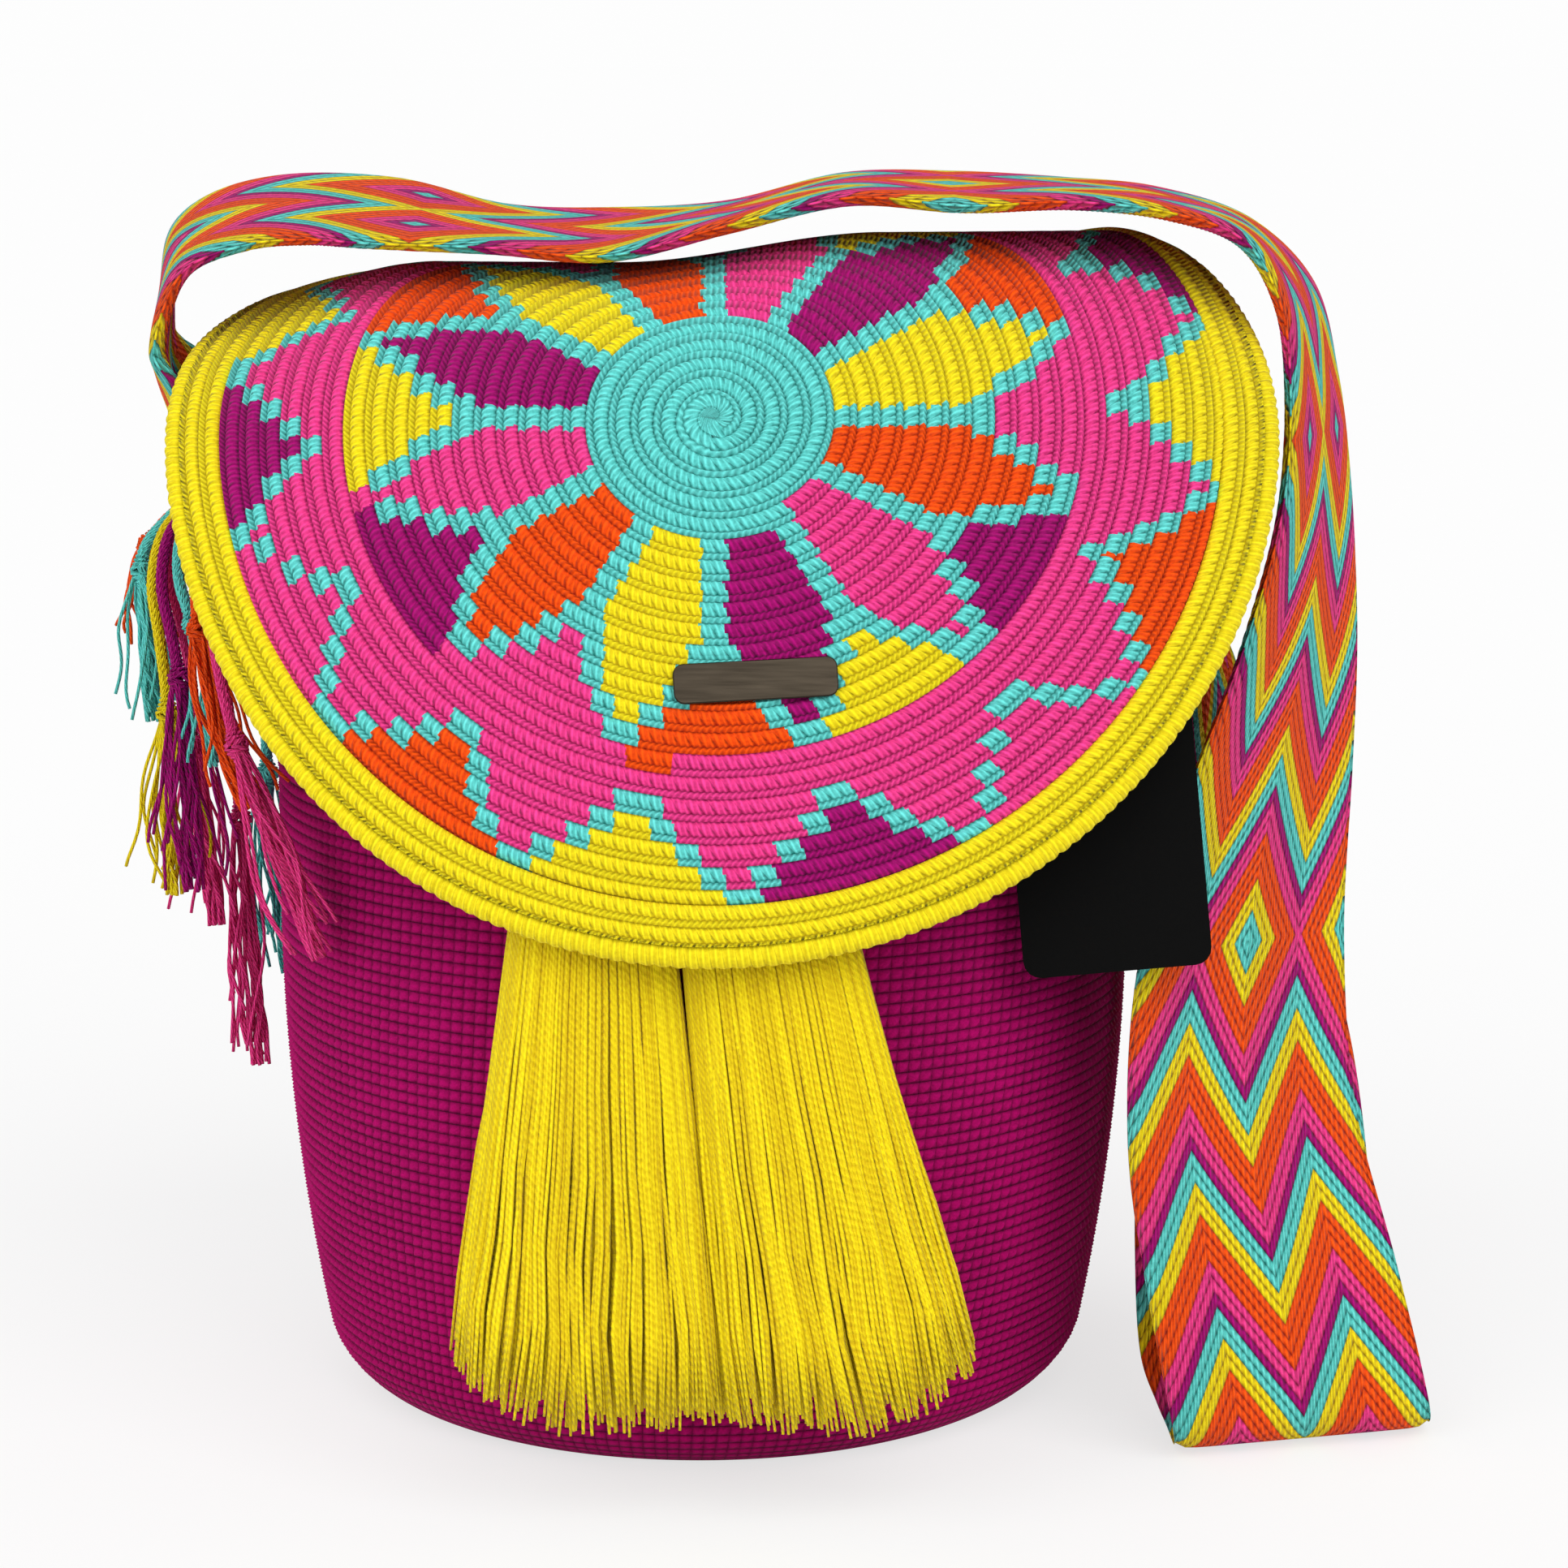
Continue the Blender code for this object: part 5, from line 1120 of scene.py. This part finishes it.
def fringe_brush(line, knot, rng):
    """Lines of the 12 yarns that have sprung loose below the knot.

    They leave it at its edge and fan out to 5 to 15 mm from the cord's line as a share of the way to the
    power 0.8, with a slow wave, and end up to a quarter short or over. None goes into the bag.
    """
    yarns = 12
    along = np.linspace(knot + 0.01, 1.0, 16)
    share = (along - along[0]) / (1 - along[0])
    whole = np.linspace(0.0, 1.0, len(line))
    stretch = np.clip(along[0] + (along - along[0]) * rng.uniform(0.72, 1.0, (yarns, 1)), 0.0, 1.0)
    room = min(1.0, (1 - knot) * length_of(line) / 0.05)
    turn = rng.uniform(0, TURN, (yarns, 1)) + 0.5 * np.sin(share * 4 + rng.uniform(0, 6, (yarns, 1)))
    reach = 0.0024 + rng.uniform(0.003, 0.012, (yarns, 1)) * room * share ** 0.8
    reach = reach + 0.0012 * share * np.sin(share * 9 + rng.uniform(0, 6, (yarns, 1)))
    offset = np.stack([np.cos(turn), np.sin(turn), 0.08 * np.sin(3 * turn)], -1) * reach[..., None]
    paths = read_line(stretch, whole, line) + offset
    return clear_of_bag(paths.reshape(-1, 3), 0.0009).reshape(paths.shape)


end_lanes = np.linspace(-STRAP_WIDTH / 2, STRAP_WIDTH / 2, 7)
end_sheet, _ = strap_sheet(55, end_lanes)
for number, (colour_name, lane, knot, path) in enumerate(FRINGE, 1):
    lane = lane / 1000
    path = [tuple(np.array(point) / 1000) for point in path]
    start = read_line(lane, end_lanes, end_sheet[0]) - (0, 0, SEAT)
    start[2] -= RIM_TILT * FRINGE_CORD_DIAMETER / 2
    below = start - (0, 0, 0.005)
    count = max(8, round(length_of([tuple(below)] + path) / 0.020) + 4)
    points = clear_of_bag(smooth_curve([tuple(below)] + path, count - 1), FRINGE_BRUSH_DIAMETER / 2 + 0.0006)
    points[0] = below
    route = np.vstack([start, points])
    fine_line = smooth_curve(route, max(60, round(length_of(route) / 0.0013)))
    rng = np.random.default_rng(number)
    name = f"fringe_cord_{number:02d}"
    made = []
    for kind, paths, radius, nodes in (("yarns", fringe_cord(fine_line, knot, rng), 0.00062, [name]),
                                       ("loose_yarns", fringe_brush(fine_line, knot, rng), 0.00055, [])):
        mesh = strands(f"{name}_{kind}", paths, radius, 5)
        made.append(piece(mesh.name, mesh, cord_yarn[colour_name], "bag", nodes))
    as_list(made[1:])


# Hang tag
# Two cards, a black one over a shorter white one, hang from one thin black string that comes out of the
# mouth, goes through their holes and is knotted behind them. Both are smooth, bare card.
CARD_TOP = (0.1140, -0.0935, 0.2400)
CARD_THICKNESS = 0.0007
CARD_HOLE_INSET = 0.006
CARD_TURN = math.radians(5.0)
CARD_LEAN = math.radians(10.0)
STRING_DIAMETER = 0.0012
STRING_X = 0.108
STRING_HEIGHT = 0.268
card_right = np.array([math.cos(CARD_TURN), 0.0, math.sin(CARD_TURN)])
card_up = np.array([-math.sin(CARD_TURN) * math.cos(CARD_LEAN), math.sin(CARD_LEAN),
                    math.cos(CARD_TURN) * math.cos(CARD_LEAN)])
card_front = unit(np.cross(card_right, card_up))
card_hole = np.array(CARD_TOP) - card_up * CARD_HOLE_INSET
string_angle = mouth_angle(STRING_X, STRING_HEIGHT)
string_out = gather(string_angle, STRING_HEIGHT) + STRING_DIAMETER / 2
string_face = bag_point(string_angle, np.array([STRING_HEIGHT]), string_out)[0]
string_path = [string_face, string_face + (0.001, -0.003, -0.0006), string_face + (0.004, -0.010, -0.008),
               card_hole + card_front * 0.004 + card_up * 0.008, card_hole + card_front * 0.0024]
string_end = [card_hole - card_front * (1.5 * CARD_THICKNESS + 0.0003 + back)
              for back in (0.0003, 0.0005, 0.0022, 0.0038)]
string_line = np.vstack([smooth_curve(string_path, 10), string_end])
swell = np.interp(np.linspace(0, 1, 40), np.linspace(0, 1, 14), [1.0] * 11 + [2.6, 4.0, 2.2])

# Waxed string: two hard plies, a little glossy, with painted shade in the grooves between the plies.
string_yarn, tree, shader = new_material("waxed_black_string")
turn, along = stitch_map(tree)
ply = ply_marks(tree, turn, 2 * TURN, along, 4.0)
lit = add(tree, "MULTIPLY_ADD", ply, 0.5, 0.5)
finish(shader, lit, ("0c0c0c", "262626"), ply, (0.6, 0.0003), {"Roughness": 0.6})
string_rings = rope(string_line, STRING_DIAMETER, 0.004, plies=2, swell=swell, spacing=0.0005, sides=8)
string = piece("tag_string_twisted", skin("tag_string_twisted", string_rings), string_yarn, "tag",
               ["tag_string"])

# Coated card stock: smooth and nearly flat, with the faint mottle of its fibres and a slight satin gloss.
for shade, colours in (("black", ("020202", "070707")), ("white", ("dcdad6", "efedea"))):
    card, tree, shader = new_material(f"{shade}_card_stock")
    mottle = fuzz(tree, 1500.0, 4.0)
    finish(shader, mottle, colours, mottle, (0.08, 0.0002), {"Roughness": 0.6, "Specular IOR Level": 0.05})
    frame["nodes"][f"tag_card_{shade}"].data.materials.clear()
    frame["nodes"][f"tag_card_{shade}"].data.materials.append(card)


# Room
# A pale seamless floor and soft light from all round, with a broad lamp high on the right and a weaker one
# on the left. To the camera and in reflections, floor and air glow, so that they run into each other.
floor_mesh = bpy.data.meshes.new("studio_floor")
floor_mesh.from_pydata([(-90, -20, 0), (90, -20, 0), (90, 160, 0), (-90, 160, 0)], [], [(0, 1, 2, 3)])
floor = bpy.data.objects.new("studio_floor", floor_mesh)
bpy.context.scene.collection.objects.link(floor)
floor_paint, floor_tree, paper = new_material("seamless_white_paper")
fill(paper, {"Base Color": linear("f4f4f4"), "Roughness": 0.9, "Specular IOR Level": 0.0})
floor_mesh.materials.append(floor_paint)

world = bpy.data.worlds.new("studio")
bpy.context.scene.world = world
world.use_nodes = True
soft = add(world.node_tree, "Background", (1.0, 1.0, 1.0, 1.0), 0.55)
for tree, lit, kind, glow, most, end in (
        (floor_tree, paper, "Emission", 0.98, 0.71, "Material Output"),
        (world.node_tree, soft, "Background", 0.985, 1.0, "World Output")):
    rays = add(tree, "LightPath").outputs
    mirrored = add(tree, "MAXIMUM", rays["Is Glossy Ray"], rays["Is Transmission Ray"])
    seen = add(tree, "MAXIMUM", rays["Is Camera Ray"], mirrored)
    white = add(tree, kind, (1.0, 1.0, 1.0, 1.0), glow)
    mixed = add(tree, "MixShader", add(tree, "MULTIPLY", seen, most), lit, white)
    fill(tree.nodes[end], {"Surface": mixed})

for name, turn, strength, angle in (("key_right", (50.0, 0.0, 30.0), 1.6, 50.0),
                                    ("fill_left", (58.0, 0.0, -42.0), 1.3, 60.0)):
    lamp_data = bpy.data.lights.new(name, "SUN")
    lamp_data.energy = strength
    lamp_data.angle = math.radians(angle)
    lamp = bpy.data.objects.new(name, lamp_data)
    lamp.rotation_euler = [math.radians(part) for part in turn]
    bpy.context.scene.collection.objects.link(lamp)

bpy.context.scene.view_settings.view_transform = "Standard"
